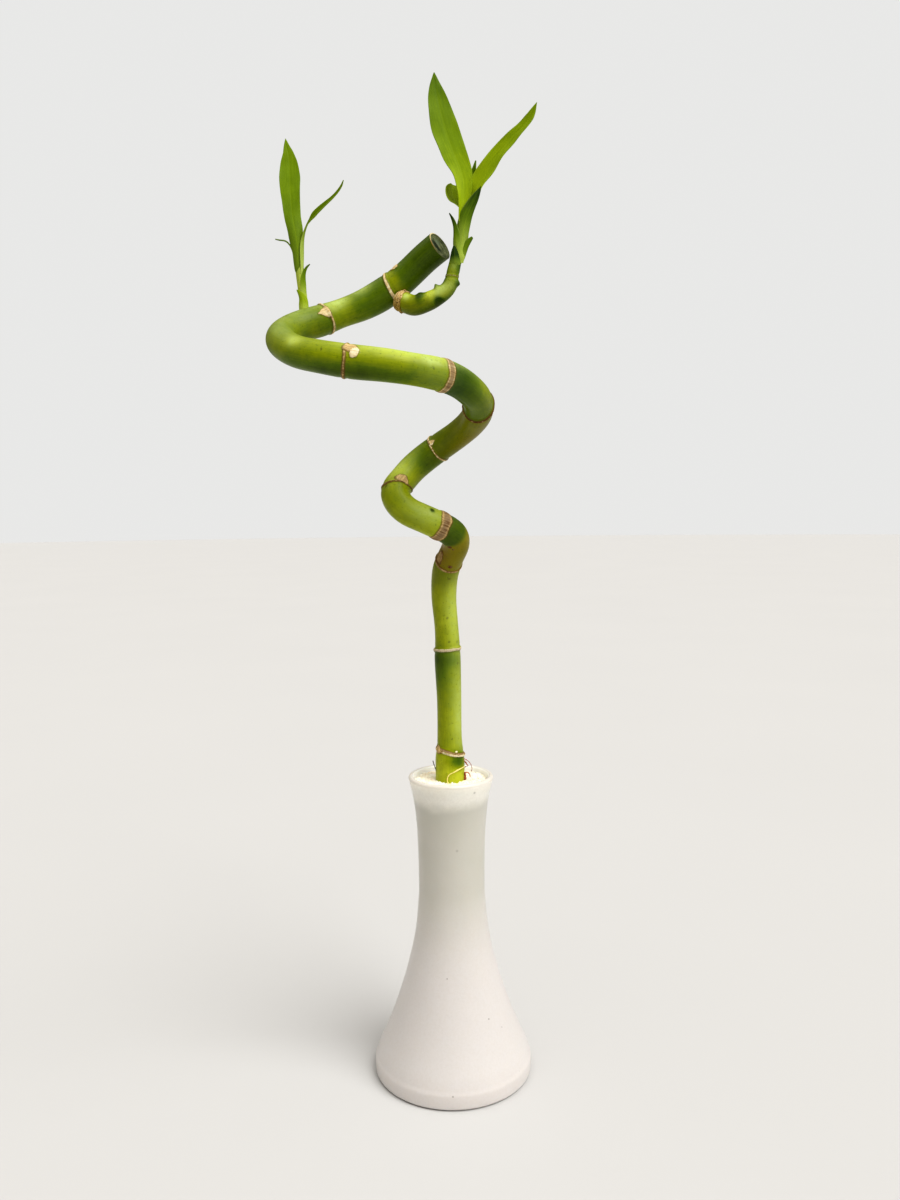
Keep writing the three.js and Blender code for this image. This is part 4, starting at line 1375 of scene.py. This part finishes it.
def length_shades(along, lines, last, shades):
    """Shade and olive tinge of each place, from the length between two rings that it lies in."""
    dark = np.zeros(along.shape)
    olive = np.zeros(along.shape)
    borders = [np.zeros(along.shape), *lines, np.full(along.shape, last)]
    for lower, upper, row in zip(borders, borders[1:], shades):
        foot, top, olive_foot, olive_top, middle, softness = row
        inside = (along >= lower) & (along <= upper)
        share = (along - lower) / np.maximum(upper - lower, 1e-6)
        passed = ease((share - middle + softness) / (2 * softness))
        dark = np.where(inside, foot + (top - foot) * passed, dark)
        olive = np.where(inside, olive_foot + (olive_top - olive_foot) * passed, olive)
    return dark, olive


def turn_from(outward, ahead, faces):
    """The angle of each place round the stem, from the way that a mark on it faces."""
    faces = unit(faces)
    facing = unit(faces - ahead * (ahead @ faces)[..., None])
    across = np.cross(ahead, facing)
    return np.arctan2((outward * across).sum(-1), (outward * facing).sum(-1))


def bud_values(along, outward, ahead, radius, buds):
    """How far inside a bud scar each place is (1 in its middle, below 0 outside), its brown and its lift."""
    inside = np.full(along.shape, -1.0)
    brown = np.zeros(along.shape)
    lift = np.zeros(along.shape)
    for where, faces, length, width, pointed, tone, stand in buds:
        across = turn_from(outward, ahead, faces) * radius
        up = (along - where) / (length / 2)
        slim = 1.0 - 0.5 * abs(pointed) - 0.5 * pointed * up
        side = across / (width / 2) / np.clip(slim, 0.15, 2.0)
        field = np.clip(1.0 - (np.abs(up) ** 2.4 + np.abs(side) ** 2.4) ** (1 / 2.4), -1.0, 1.0)
        brown = np.where(field > inside, tone, brown)
        inside = np.maximum(inside, field)
        lift = np.maximum(lift, stand * ease((field + 0.08) / 0.3))
    return inside, brown, lift


def stem_piece(
    name,
    rows,
    distances,
    sides,
    rings,
    shades,
    evened,
    buds=(),
    patches=(),
    specks=(),
    slope=(0.0, 0.0, 0.0),
):
    """A stem: a grid rolled round its line, raised at its scars, with the values that paint its skin."""
    line = MeasuredLine(rows, evened)
    stem, order = add_sheet(name, sides, len(distances) - 1)
    centres, aheads, outward, turns, diameters = round_line(line, distances, sides)
    along = np.repeat(distances[:, None], sides + 1, axis=1)
    angles = np.repeat(turns[None], len(distances), axis=0)
    radius = np.repeat(diameters[:, None] / 2, sides + 1, axis=1)
    ahead = np.repeat(aheads[:, None], sides + 1, axis=1)
    gap, (band, brown, stripes, grey), lift, lines = ring_values(along, outward, angles, rings)
    dark, olive = length_shades(along, lines, line.length, shades)
    inside, bud_brown, bud_lift = bud_values(along, outward, ahead, radius, buds)
    brown = np.where(inside > -0.25, bud_brown, brown)
    lift += bud_lift
    bloom = np.zeros(along.shape)
    # Patches of shade, olive tinge, whitish bloom and swelling; some of them are painted highlights and
    # painted shade
    for where, faces, length, width, change, tinge, whitened, swell in patches:
        turn = np.degrees(turn_from(outward, ahead, faces))
        weight = np.exp(-(((along - where) / length) ** 2) - (turn / width) ** 2)
        dark += change * weight
        olive += tinge * weight
        bloom += whitened * weight
        lift += swell * weight
    for where, faces, size in specks:
        across = turn_from(outward, ahead, faces) * radius
        weight = np.exp(-((((along - where) ** 2 + across**2) / size**2) ** 2))
        olive += 0.8 * weight
        dark += 0.6 * weight
    fibres = 0.025 * ripple(angles + 0.002 * along, 5, 9, 22) + 0.06 * ripple(angles, 6, 2, 4)
    leaning = ease(1.0 - (line.length - along) / CUT_REACH) * radius * (outward @ np.array(slope))
    places = centres[:, None] + outward * (radius + lift + fibres)[..., None] + ahead * leaning[..., None]
    lay_out(stem, places, order)
    girth = diameters.max() / 2
    carried = {
        "marks": (gap, band, brown),
        "zones": (olive, inside, dark),
        "bloom": (bloom, stripes, grey),
        "grain": (np.cos(angles) * girth, np.sin(angles) * girth, along * 0.06),
    }
    for values, columns in carried.items():
        add_values(stem, values, *(column.ravel()[order] for column in columns))
    return stem, line


def close_ends(stem):
    """Fills the open ends of a rolled stem with one face each."""
    edit(
        stem,
        (bpy.ops.mesh.remove_doubles, {"threshold": MERGE_GAP}),
        (bpy.ops.mesh.select_all, {"action": "DESELECT"}),
        (bpy.ops.mesh.select_mode, {"type": "EDGE"}),
        (bpy.ops.mesh.select_non_manifold, {"extend": False}),
        (bpy.ops.mesh.edge_face_add, {}),
        (bpy.ops.mesh.select_all, {"action": "SELECT"}),
        (bpy.ops.mesh.normals_make_consistent, {"inside": False}),
        (bpy.ops.mesh.select_mode, {"type": "VERT"}),
    )


def blade_piece(name, rows, faces, turning, dark, pale, margin, wave, thickness, seed):
    """A leaf or sheath: a grid bent across its width that clasps the stem at its foot and then opens."""
    line = MeasuredLine(rows, 0.5)
    count = max(16, int(line.length / BLADE_STEP))
    blade, order = add_sheet(name, BLADE_COLUMNS, count)
    distances = np.linspace(0.0, line.length, count + 1)
    centres, aheads, widths, bends = line.at(distances)
    share = distances / line.length
    turned = ease((share - turning[0]) / (turning[1] - turning[0]))[:, None]
    facing = unit(faces[0]) * (1.0 - turned) + unit(faces[1]) * turned
    face = unit(facing - aheads * (aheads * facing).sum(-1)[:, None])
    across = np.cross(aheads, face)
    bends = np.where(np.abs(bends) < 0.02, 0.02, bends)
    widths = np.maximum(widths, 0.15)
    radius = widths / 2 / (np.sign(bends) * np.sin(np.minimum(np.abs(bends), math.pi / 2)))
    place = np.linspace(-1.0, 1.0, BLADE_COLUMNS + 1)
    turn = bends[:, None] * place
    phase = random.Random(seed).uniform(0, 6)
    sway = wave * 3.0 * np.sin(distances * 0.42 + phase)[:, None] * place**3 * ease(share * 3)[:, None]
    crease = -0.16 * np.exp(-((place / 0.1) ** 2)) * ease(share * 2)[:, None]
    veins = 0.02 * np.cos(place * 34) * np.ones_like(turn)
    clasp = 0.3 * np.clip(radius, -3.0, 3.0) * (1.0 - ease(distances / 2.5))
    inset = (sway + crease + veins) * np.minimum(widths / 3, 1.0)[:, None] + clasp[:, None]
    aside = radius[:, None] * np.sin(turn) - inset * np.sin(turn)
    inward = radius[:, None] * (1.0 - np.cos(turn)) + inset * np.cos(turn)
    places = centres[:, None] + across[:, None] * aside[..., None] + face[:, None] * inward[..., None]
    lay_out(blade, places, order)
    along = np.repeat(share[:, None], BLADE_COLUMNS + 1, axis=1).ravel()[order]
    sideways = np.repeat(place[None], count + 1, axis=0).ravel()[order]
    add_values(blade, "blade", sideways, along, dark[0] + (dark[1] - dark[0]) * along)
    wide = (place * widths[:, None] / 2).ravel()[order]
    add_values(blade, "grain", wide * 1.6, seed * 7.0, along * line.length * 0.08)
    inner = np.repeat(face[:, None], BLADE_COLUMNS + 1, axis=1).reshape(-1, 3)[order]
    add_values(blade, "inner", *inner.T)
    thicken(blade, thickness)
    normals = table_of(blade.data.vertices, "normal")
    under = ((normals * values_of(blade, "inner")).sum(-1) < 0).astype(float)
    sideways, along, _ = values_of(blade, "blade").T
    whitened = pale * (1.0 - ease(along / 0.6))
    add_values(blade, "sides", under, margin * ease((np.abs(sideways) - 0.75) / 0.25), whitened)
    return blade


def thicken(blade, thickness):
    """Gives a sheet its thickness, half to each side, and keeps it closed."""
    select_only(blade)
    modifier = blade.modifiers.new("Thickness", "SOLIDIFY")
    modifier.thickness = thickness
    modifier.offset = 0.0
    modifier.use_even_offset = False
    bpy.ops.object.modifier_apply(modifier=modifier.name)
    close_up(blade)


def spun(name, profile, segments):
    """Draws a profile of radius and height point by point, and spins it about the upright axis."""
    select_only()
    bpy.ops.mesh.primitive_plane_add(size=MM, location=(profile[0][0] * MM, 0.0, profile[0][1] * MM))
    turned = named(bpy.context.object, name)
    bpy.ops.object.transform_apply(location=True, rotation=True, scale=True)
    bpy.ops.object.mode_set(mode="EDIT")
    bpy.ops.mesh.select_all(action="SELECT")
    bpy.ops.mesh.merge(type="CENTER")
    for (radius, height), (further, higher) in zip(profile, profile[1:]):
        step = ((further - radius) * MM, 0.0, (higher - height) * MM)
        bpy.ops.mesh.extrude_vertices_move(TRANSFORM_OT_translate={"value": step})
    bpy.ops.mesh.select_all(action="SELECT")
    bpy.ops.mesh.spin(steps=segments, angle=2 * math.pi, center=(0, 0, 0), axis=(0, 0, 1))
    bpy.ops.object.mode_set(mode="OBJECT")
    close_up(turned)
    return turned


def arc(radius, height, size, start, end, steps):
    """An arc of a round edge as radius and height, between two angles."""
    turns = np.linspace(start, end, steps + 1)
    return [(radius + size * math.cos(turn), height + size * math.sin(turn)) for turn in turns]


def wall_line(offset, lowest, highest, steps=8):
    """The vase's wall line with points between its rows, moved inwards by an offset."""
    points = np.array(VASE_LINE)
    ends = np.vstack([points[0], points, points[-1]])
    wall = []
    for number in range(len(points) - 1):
        before, start, end, after = ends[number : number + 4]
        share = (np.arange(steps) / steps)[:, None]
        leave, arrive = (end - before) / 2, (after - start) / 2
        wall.append(cubic(start, end, leave, arrive, share))
    rows = np.vstack([*wall, points[-1:]])
    return [(radius - offset, height) for radius, height in rows if lowest < height < highest]


class BAMBOO_OT_stage(bpy.types.Operator):
    """Sets up the floor, the soft lights and the camera"""

    bl_idname = "bamboo.stage"
    bl_label = "Stage"

    def execute(self, context):
        stage = context.scene.bamboo.stage
        self.add_floor(stage)
        self.add_light("key_light", *KEY_LIGHT, stage.key)
        self.add_light("top_light", *TOP_LIGHT, stage.top)
        self.add_surround(context.scene, stage)
        self.add_camera(context.scene)
        context.scene.view_settings.view_transform = "Standard"
        context.scene.view_settings.look = "Medium High Contrast"
        return {"FINISHED"}

    def add_floor(self, stage):
        select_only()
        bpy.ops.mesh.primitive_circle_add(
            vertices=96, radius=STAGE_RADIUS, fill_type="NGON", location=(0, 0, -STAGE_DROP)
        )
        floor = bpy.context.object
        floor.name = "floor"
        bpy.ops.object.transform_apply(location=True, rotation=True, scale=True)
        floor.data.materials.append(floor_paint(stage))

    def add_light(self, name, comes_from, spread, strength):
        data = bpy.data.lights.new(name, "SUN")
        data.angle = math.radians(spread)
        data.energy = strength
        light = bpy.data.objects.new(name, data)
        bpy.context.scene.collection.objects.link(light)
        light.location = comes_from
        light.rotation_euler = Vector(comes_from).to_track_quat("Z", "Y").to_euler()

    def add_surround(self, scene, stage):
        world = bpy.data.worlds.new("surround")
        scene.world = world
        world.use_nodes = True
        tree = world.node_tree
        glow = tree.nodes["Background"]
        glow.inputs["Color"].default_value = (*stage.fill, 1.0)
        glow.inputs["Strength"].default_value = stage.surround
        seen = tree.nodes.new("ShaderNodeBackground")
        seen.inputs["Color"].default_value = (*stage.backdrop, 1.0)
        path = tree.nodes.new("ShaderNodeLightPath")
        mix = tree.nodes.new("ShaderNodeMixShader")
        tree.links.new(path.outputs["Is Camera Ray"], mix.inputs[0])
        tree.links.new(glow.outputs[0], mix.inputs[1])
        tree.links.new(seen.outputs[0], mix.inputs[2])
        tree.links.new(mix.outputs[0], tree.nodes["World Output"].inputs["Surface"])

    def add_camera(self, scene):
        data = bpy.data.cameras.new("camera")
        data.sensor_fit = "AUTO"
        data.sensor_width = SENSOR
        data.lens = FOCAL_PIXELS * SENSOR / max(FRAME_WIDTH, FRAME_HEIGHT)
        data.clip_start = 0.01
        data.clip_end = 100.0
        camera = bpy.data.objects.new("camera", data)
        scene.collection.objects.link(camera)
        dip, roll = CAMERA_DIP, CAMERA_ROLL
        ahead = Vector((0.0, math.cos(dip), -math.sin(dip)))
        level_up = Vector((0.0, math.sin(dip), math.cos(dip)))
        level_right = Vector((1.0, 0.0, 0.0))
        right = level_right * math.cos(roll) + level_up * math.sin(roll)
        up = level_up * math.cos(roll) - level_right * math.sin(roll)
        turned = Matrix((right, up, -ahead)).transposed().to_4x4()
        camera.matrix_world = Matrix.Translation(CAMERA_PLACE) @ turned
        scene.camera = camera


class BAMBOO_OT_vase(bpy.types.Operator):
    """Spins the frosted vase from its profile, with a rolled rim and a low band round the foot"""

    bl_idname = "bamboo.vase"
    bl_label = "Vase"

    def execute(self, context):
        settings = context.scene.bamboo.vase
        wall = settings.wall / MM
        rim_height = VASE_HEIGHT - wall / 2
        rim_radius = VASE_LINE[-1][0] - wall / 2
        floor_radius = FOOT_RADIUS - wall - 3
        profile = [(0.0, 1.2), (18.0, 1.2), (31.0, 1.0), (33.0, 0.0)]
        profile += arc(FOOT_RADIUS - FOOT_EDGE, FOOT_EDGE, FOOT_EDGE, -math.pi / 2, 0, 6)
        profile += [(FOOT_RADIUS, 3.4), (FOOT_RADIUS, 6.3), (39.1, 7.1), (38.9, 7.7), (38.65, 8.2)]
        profile += wall_line(0.0, 8.8, rim_height - 1)
        profile += arc(rim_radius, rim_height, wall / 2, 0, math.pi, 12)
        profile += wall_line(wall, FLOOR + 4, rim_height - 1)[::-1]
        profile += [(floor_radius + 2.4, FLOOR + 1.6), (floor_radius, FLOOR), (0.0, FLOOR)]
        vase = spun("vase_frosted", profile, settings.segments)
        dress(vase, 50, frosted_paint(settings))
        hand_over(vase, "frosted_vase", "vase")
        return {"FINISHED"}


class BAMBOO_OT_gravel(bpy.types.Operator):
    """Fills the vase with fine gravel, and strews loose grains on its top"""

    bl_idname = "bamboo.gravel"
    bl_label = "Gravel"

    def execute(self, context):
        settings = context.scene.bamboo.gravel
        material = gravel_paint(settings)
        for piece, degrees in ((self.add_bed(), 60), (self.add_grains(settings), 24)):
            dress(piece, degrees, material)
            hand_over(piece, "gravel", "gravel")
        return {"FINISHED"}

    def add_bed(self):
        gap = WALL + CLEARANCE
        floor = FLOOR + CLEARANCE
        floor_radius = FOOT_RADIUS - gap - 3
        profile = [(0.0, floor), (floor_radius, floor), (floor_radius + 2.2, floor + 1.8)]
        profile += wall_line(gap, floor + 4, GRAVEL_LEVEL - 2, 3)
        radii = np.linspace(17.1, 0.0, 36)
        profile += [(radius, GRAVEL_LEVEL + 0.4 - 0.4 * (radius / 17) ** 6) for radius in radii]
        bed = spun("gravel_bed", profile, 120)
        places = places_of(bed)
        top = places[:, 2] > (GRAVEL_LEVEL - 1) * MM
        east, north = places[:, 0] / MM, places[:, 1] / MM
        rough = 0.22 * np.sin(east * 2.3 + 1.7 * np.sin(north * 1.9))
        rough += 0.18 * np.sin(north * 3.1 + np.cos(east * 2.7))
        slow = 0.35 * np.sin(east * 0.33 + 0.8) * np.cos(north * 0.41)
        places[:, 2] += np.where(top, (rough + slow) * MM, 0.0)
        set_places(bed, places)
        return bed

    def add_grains(self, settings):
        """One grain is modelled, and each copy of it gets its own size, turn and place."""
        select_only()
        bpy.ops.mesh.primitive_ico_sphere_add(subdivisions=1, radius=1.0)
        grain = bpy.context.object
        edit(grain, (bpy.ops.mesh.bevel, {"offset": 0.16, "segments": 1, "affect": "VERTICES"}))
        model = grain.data.copy()
        dice = random.Random(GRAIN_SEED)
        copies = []
        for number in range(settings.count):
            reach = math.sqrt(dice.uniform((GRAINS_FROM / GRAINS_TO) ** 2, 1.0)) * GRAINS_TO
            turn = dice.uniform(0.0, 2 * math.pi)
            size = settings.smallest + (settings.largest - settings.smallest) * dice.random() ** 2
            widths = [dice.uniform(*limits) for limits in ((0.8, 1.2), (0.8, 1.1), (0.65, 1.0))]
            squash = Matrix.Diagonal((*widths, 1.0))
            spin = Euler([dice.uniform(0.0, 6.3) for _ in range(3)]).to_matrix().to_4x4()
            rise = (GRAVEL_LEVEL + 0.3) * MM + size * dice.uniform(-0.25, 0.45)
            place = Matrix.Translation((reach * math.cos(turn) * MM, reach * math.sin(turn) * MM, rise))
            mesh = model.copy()
            mesh.transform(place @ spin @ Matrix.Scale(size, 4) @ squash)
            copy = bpy.data.objects.new(f"grain_{number}", mesh)
            bpy.context.scene.collection.objects.link(copy)
            copies.append(copy)
        bpy.data.objects.remove(grain)
        return joined("gravel_grains", copies)


class BAMBOO_OT_cane(bpy.types.Operator):
    """Rolls the cane's skin round its spiral line, with every leaf scar, and hollows its cut end"""

    bl_idname = "bamboo.cane"
    bl_label = "Cane"

    def execute(self, context):
        settings = context.scene.bamboo.cane
        whole = MeasuredLine(CANE_LINE).length
        buried = np.linspace(0.0, BURIED, BURIED_ROWS + 1)[:-1]
        fine = np.linspace(BURIED, whole - END_GAP, int((whole - BURIED) / CANE_STEP) + 1)
        cane, line = stem_piece(
            "cane_skin",
            CANE_LINE,
            np.concatenate([buried, fine]),
            CANE_SIDES,
            CANE_RINGS,
            CANE_SHADES,
            evened=2.2,
            buds=CANE_BUDS,
            patches=CANE_PATCHES,
            specks=CANE_SPECKS,
            slope=CUT_SLOPE,
        )
        close_ends(cane)
        self.hollow_end(cane, line)
        dress(cane, 45, cane_paint("cane_green", settings), cut_paint())
        hand_over(cane, "cane", "cane")
        return {"FINISHED"}

    def hollow_end(self, cane, line):
        """Rounds the cut edge, and sinks the pith inside the rim in steps."""
        centres, aheads, diameters = line.at(np.array([line.length]))
        end, ahead = Vector(centres[0]), Vector(aheads[0])
        radius = diameters[0] / 2
        edit(
            cane,
            (bpy.ops.mesh.select_mode, {"type": "FACE"}),
            (bpy.ops.mesh.select_all, {"action": "DESELECT"}),
        )
        lids = [face for face in cane.data.polygons if len(face.vertices) > 8]
        min(lids, key=lambda face: (face.center / MM - end).length).select = True
        bpy.ops.object.mode_set(mode="EDIT")
        for thickness, depth in CUT_INSETS:
            bpy.ops.mesh.inset(thickness=thickness * MM, depth=depth * MM)
        bpy.ops.mesh.poke()
        bpy.ops.mesh.select_mode(type="VERT")
        bpy.ops.object.mode_set(mode="OBJECT")
        upright = Vector((0.0, 0.0, 1.0))
        upward = (upright - ahead * ahead.dot(upright)).normalized()
        front = ahead.cross(upward)
        places = places_of(cane) / MM - np.array(end)
        add_values(cane, "face", places @ np.array(front) / radius, places @ np.array(upward) / radius)
        for face in cane.data.polygons:
            near = (face.center / MM - end).length < 2 * radius
            face.material_index = int(near and face.normal.dot(ahead) > 0.3)


class BAMBOO_OT_stems(bpy.types.Operator):
    """Rolls the two green stems that carry the leaves"""

    bl_idname = "bamboo.stems"
    bl_label = "Stems"

    def execute(self, context):
        skin = context.scene.bamboo.cane
        material = cane_paint("stem_green", skin)
        for name, node, rows, sides, step, rings, shades, patches in STEMS:
            whole = MeasuredLine(rows).length
            distances = np.linspace(0.0, whole - END_GAP, int(whole / step) + 1)
            stem, _ = stem_piece(name, rows, distances, sides, rings, shades, 1.0, patches=patches)
            close_ends(stem)
            dress(stem, 50, material)
            hand_over(stem, "leaf", node)
        return {"FINISHED"}


class BAMBOO_OT_leaves(bpy.types.Operator):
    """Bends the leaves and the sheaths, with their creases and veins"""

    bl_idname = "bamboo.leaves"
    bl_label = "Leaves and sheaths"

    def execute(self, context):
        settings = context.scene.bamboo.leaf
        material = leaf_paint(settings)
        for seed, (name, node, rows, foot_faces, tip_faces, turning, *looks) in enumerate(LEAVES):
            faces = (foot_faces, tip_faces)
            blade = blade_piece(name, rows, faces, turning, *looks, settings.thickness, seed)
            dress(blade, 60, material)
            hand_over(blade, "leaf", node)
        return {"FINISHED"}


class BAMBOO_OT_collar(bpy.types.Operator):
    """Wraps a dry, streaked collar with loose flakes round the foot of the right shoot"""

    bl_idname = "bamboo.collar"
    bl_label = "Collar"

    def execute(self, context):
        centre = np.array(COLLAR_CENTRE)
        ahead = unit(COLLAR_FACES)
        side = unit(np.cross(ahead, (0.0, 0.0, 1.0)))
        axes = (ahead, side, np.cross(ahead, side))
        collar = joined("collar_scales", [self.add_band(centre, axes), *self.add_flakes(centre, axes)])
        dress(collar, 60, scale_paint())
        hand_over(collar, "dry_scale", "collar_right")
        return {"FINISHED"}

    def add_band(self, centre, axes):
        """The collar itself: its section, taken round the stem, with a ragged lip."""
        ahead, side, across = axes
        section = np.array((*COLLAR_SECTION, COLLAR_SECTION[0]))
        steps = np.concatenate([[0.0], np.cumsum(np.linalg.norm(np.diff(section, axis=0), axis=1))])
        stops = np.linspace(0.0, steps[-1], COLLAR_ROWS + 1)
        forward, reach = (np.interp(stops, steps, column)[:, None] for column in section.T)
        band, order = add_sheet("collar_scales", COLLAR_SIDES, COLLAR_ROWS)
        turns = full_turn(COLLAR_SIDES)
        lip = ease((forward + 1.0) / 2.0)
        outward = side * np.cos(turns)[:, None] + across * np.sin(turns)[:, None]
        low = ease(0.5 - 0.7 * (outward @ np.array((0.0, 0.0, 1.0))))
        forward = forward + lip * (0.7 * ripple(turns, 77, 3, 18) + 1.1 * low)
        thick = ease((reach - 3.9) / 0.8)
        reach = reach + thick * 0.4 * ripple(turns, 78, 3, 20) + 0.06 * np.cos(stops * 7.0)[:, None]
        places = centre + ahead * forward[..., None] + outward * reach[..., None]
        lay_out(band, places, order)
        round_it = turns * 0.35 * np.ones_like(forward)
        add_values(band, "blade", (low * np.ones_like(forward)).ravel()[order])
        grain = (forward * 1.2, reach * 1.2 * np.ones_like(forward), round_it)
        add_values(band, "grain", *(values.ravel()[order] for values in grain))
        close_up(band)
        return band

    def add_flakes(self, centre, axes):
        """Small flakes that stand off the collar."""
        ahead, side, across = axes
        dice = random.Random(FLAKE_SEED)
        flakes = []
        for number in range(COLLAR_FLAKES):
            turn = dice.uniform(0.0, 2 * math.pi)
            outward = side * math.cos(turn) + across * math.sin(turn)
            width, length = dice.uniform(0.8, 2.2), dice.uniform(0.9, 2.0)
            foot = centre + outward * dice.uniform(4.3, 4.8) + ahead * dice.uniform(-1.9, 0.0)
            tip = foot + outward * dice.uniform(0.1, 0.6) + ahead * length
            middle = (foot + tip) / 2 + outward * 0.25
            flake = blade_piece(
                f"flake_{number}",
                ((*foot, width, 0.6), (*middle, width, 0.5), (*tip, 0.3, 0.3)),
                faces=(-outward, -outward),
                turning=(0, 1),
                dark=(0.0, 0.0),
                pale=0.0,
                margin=0.0,
                wave=0.1,
                thickness=FLAKE_THICKNESS * MM,
                seed=40 + number,
            )
            low = float(ease(0.5 - 0.7 * outward[2]))
            flake.data.attributes["blade"].data.foreach_set("vector", [low] * 3 * len(flake.data.vertices))
            flakes.append(flake)
        return flakes


class BAMBOO_OT_roots(bpy.types.Operator):
    """Bends the thin roots at the lowest leaf scar"""

    bl_idname = "bamboo.roots"
    bl_label = "Roots"

    def execute(self, context):
        for name, node, slot, threads, pale, dark, speckle in ROOTS:
            pieces = []
            for number, (stain, rows) in enumerate(threads):
                thread = self.add_thread(f"{name}_{number}", rows, number)
                add_values(thread, "stain", stain)
                pieces.append(thread)
            root = joined(name, pieces)
            dress(root, 60, root_paint(name, from_screen(*pale), from_screen(*dark), speckle))
            hand_over(root, slot, node)
        return {"FINISHED"}

    def add_thread(self, name, rows, seed):
        line = MeasuredLine(rows, 0.4)
        distances = np.linspace(0.0, line.length - END_GAP / 2, int(line.length / THREAD_STEP) + 1)
        thread, order = add_sheet(name, THREAD_SIDES, len(distances) - 1)
        centres, _, outward, _, diameters = round_line(line, distances, THREAD_SIDES)
        lumps = 1.0 + 0.14 * np.sin(distances * 3.7 + seed) + 0.08 * np.sin(distances * 9.1)
        lay_out(thread, centres[:, None] + outward * (diameters / 2 * lumps)[:, None, None], order)
        close_ends(thread)
        return thread


class BAMBOO_PT_panel(bpy.types.Panel):
    """Lists the steps that build the bamboo"""

    bl_idname = "BAMBOO_PT_panel"
    bl_label = "Lucky bamboo"
    bl_space_type = "VIEW_3D"
    bl_region_type = "UI"
    bl_category = "Bamboo"

    def draw(self, context):
        for step in STEPS:
            self.layout.operator(step.bl_idname)
        settings = context.scene.bamboo
        for name in BambooSettings.__annotations__:
            group = getattr(settings, name)
            box = self.layout.box()
            box.label(text=name.capitalize())
            for setting in group.__annotations__:
                box.prop(group, setting)


STEPS = (
    BAMBOO_OT_stage,
    BAMBOO_OT_vase,
    BAMBOO_OT_gravel,
    BAMBOO_OT_cane,
    BAMBOO_OT_stems,
    BAMBOO_OT_leaves,
    BAMBOO_OT_collar,
    BAMBOO_OT_roots,
)
CLASSES = (
    BambooVaseSettings,
    BambooGravelSettings,
    BambooCaneSettings,
    BambooLeafSettings,
    BambooStageSettings,
    BambooSettings,
    *STEPS,
    BAMBOO_PT_panel,
)


def register():
    for cls in CLASSES:
        bpy.utils.register_class(cls)
    bpy.types.Scene.bamboo = bpy.props.PointerProperty(type=BambooSettings)


def unregister():
    del bpy.types.Scene.bamboo
    for cls in reversed(CLASSES):
        bpy.utils.unregister_class(cls)


def main():
    register()
    bpy.ops.bamboo.stage()
    bpy.ops.bamboo.vase()
    bpy.ops.bamboo.gravel()
    bpy.ops.bamboo.cane()
    bpy.ops.bamboo.stems()
    bpy.ops.bamboo.leaves()
    bpy.ops.bamboo.collar()
    bpy.ops.bamboo.roots()
    bpy.context.view_layer.update()


if __name__ == "__main__":
    main()
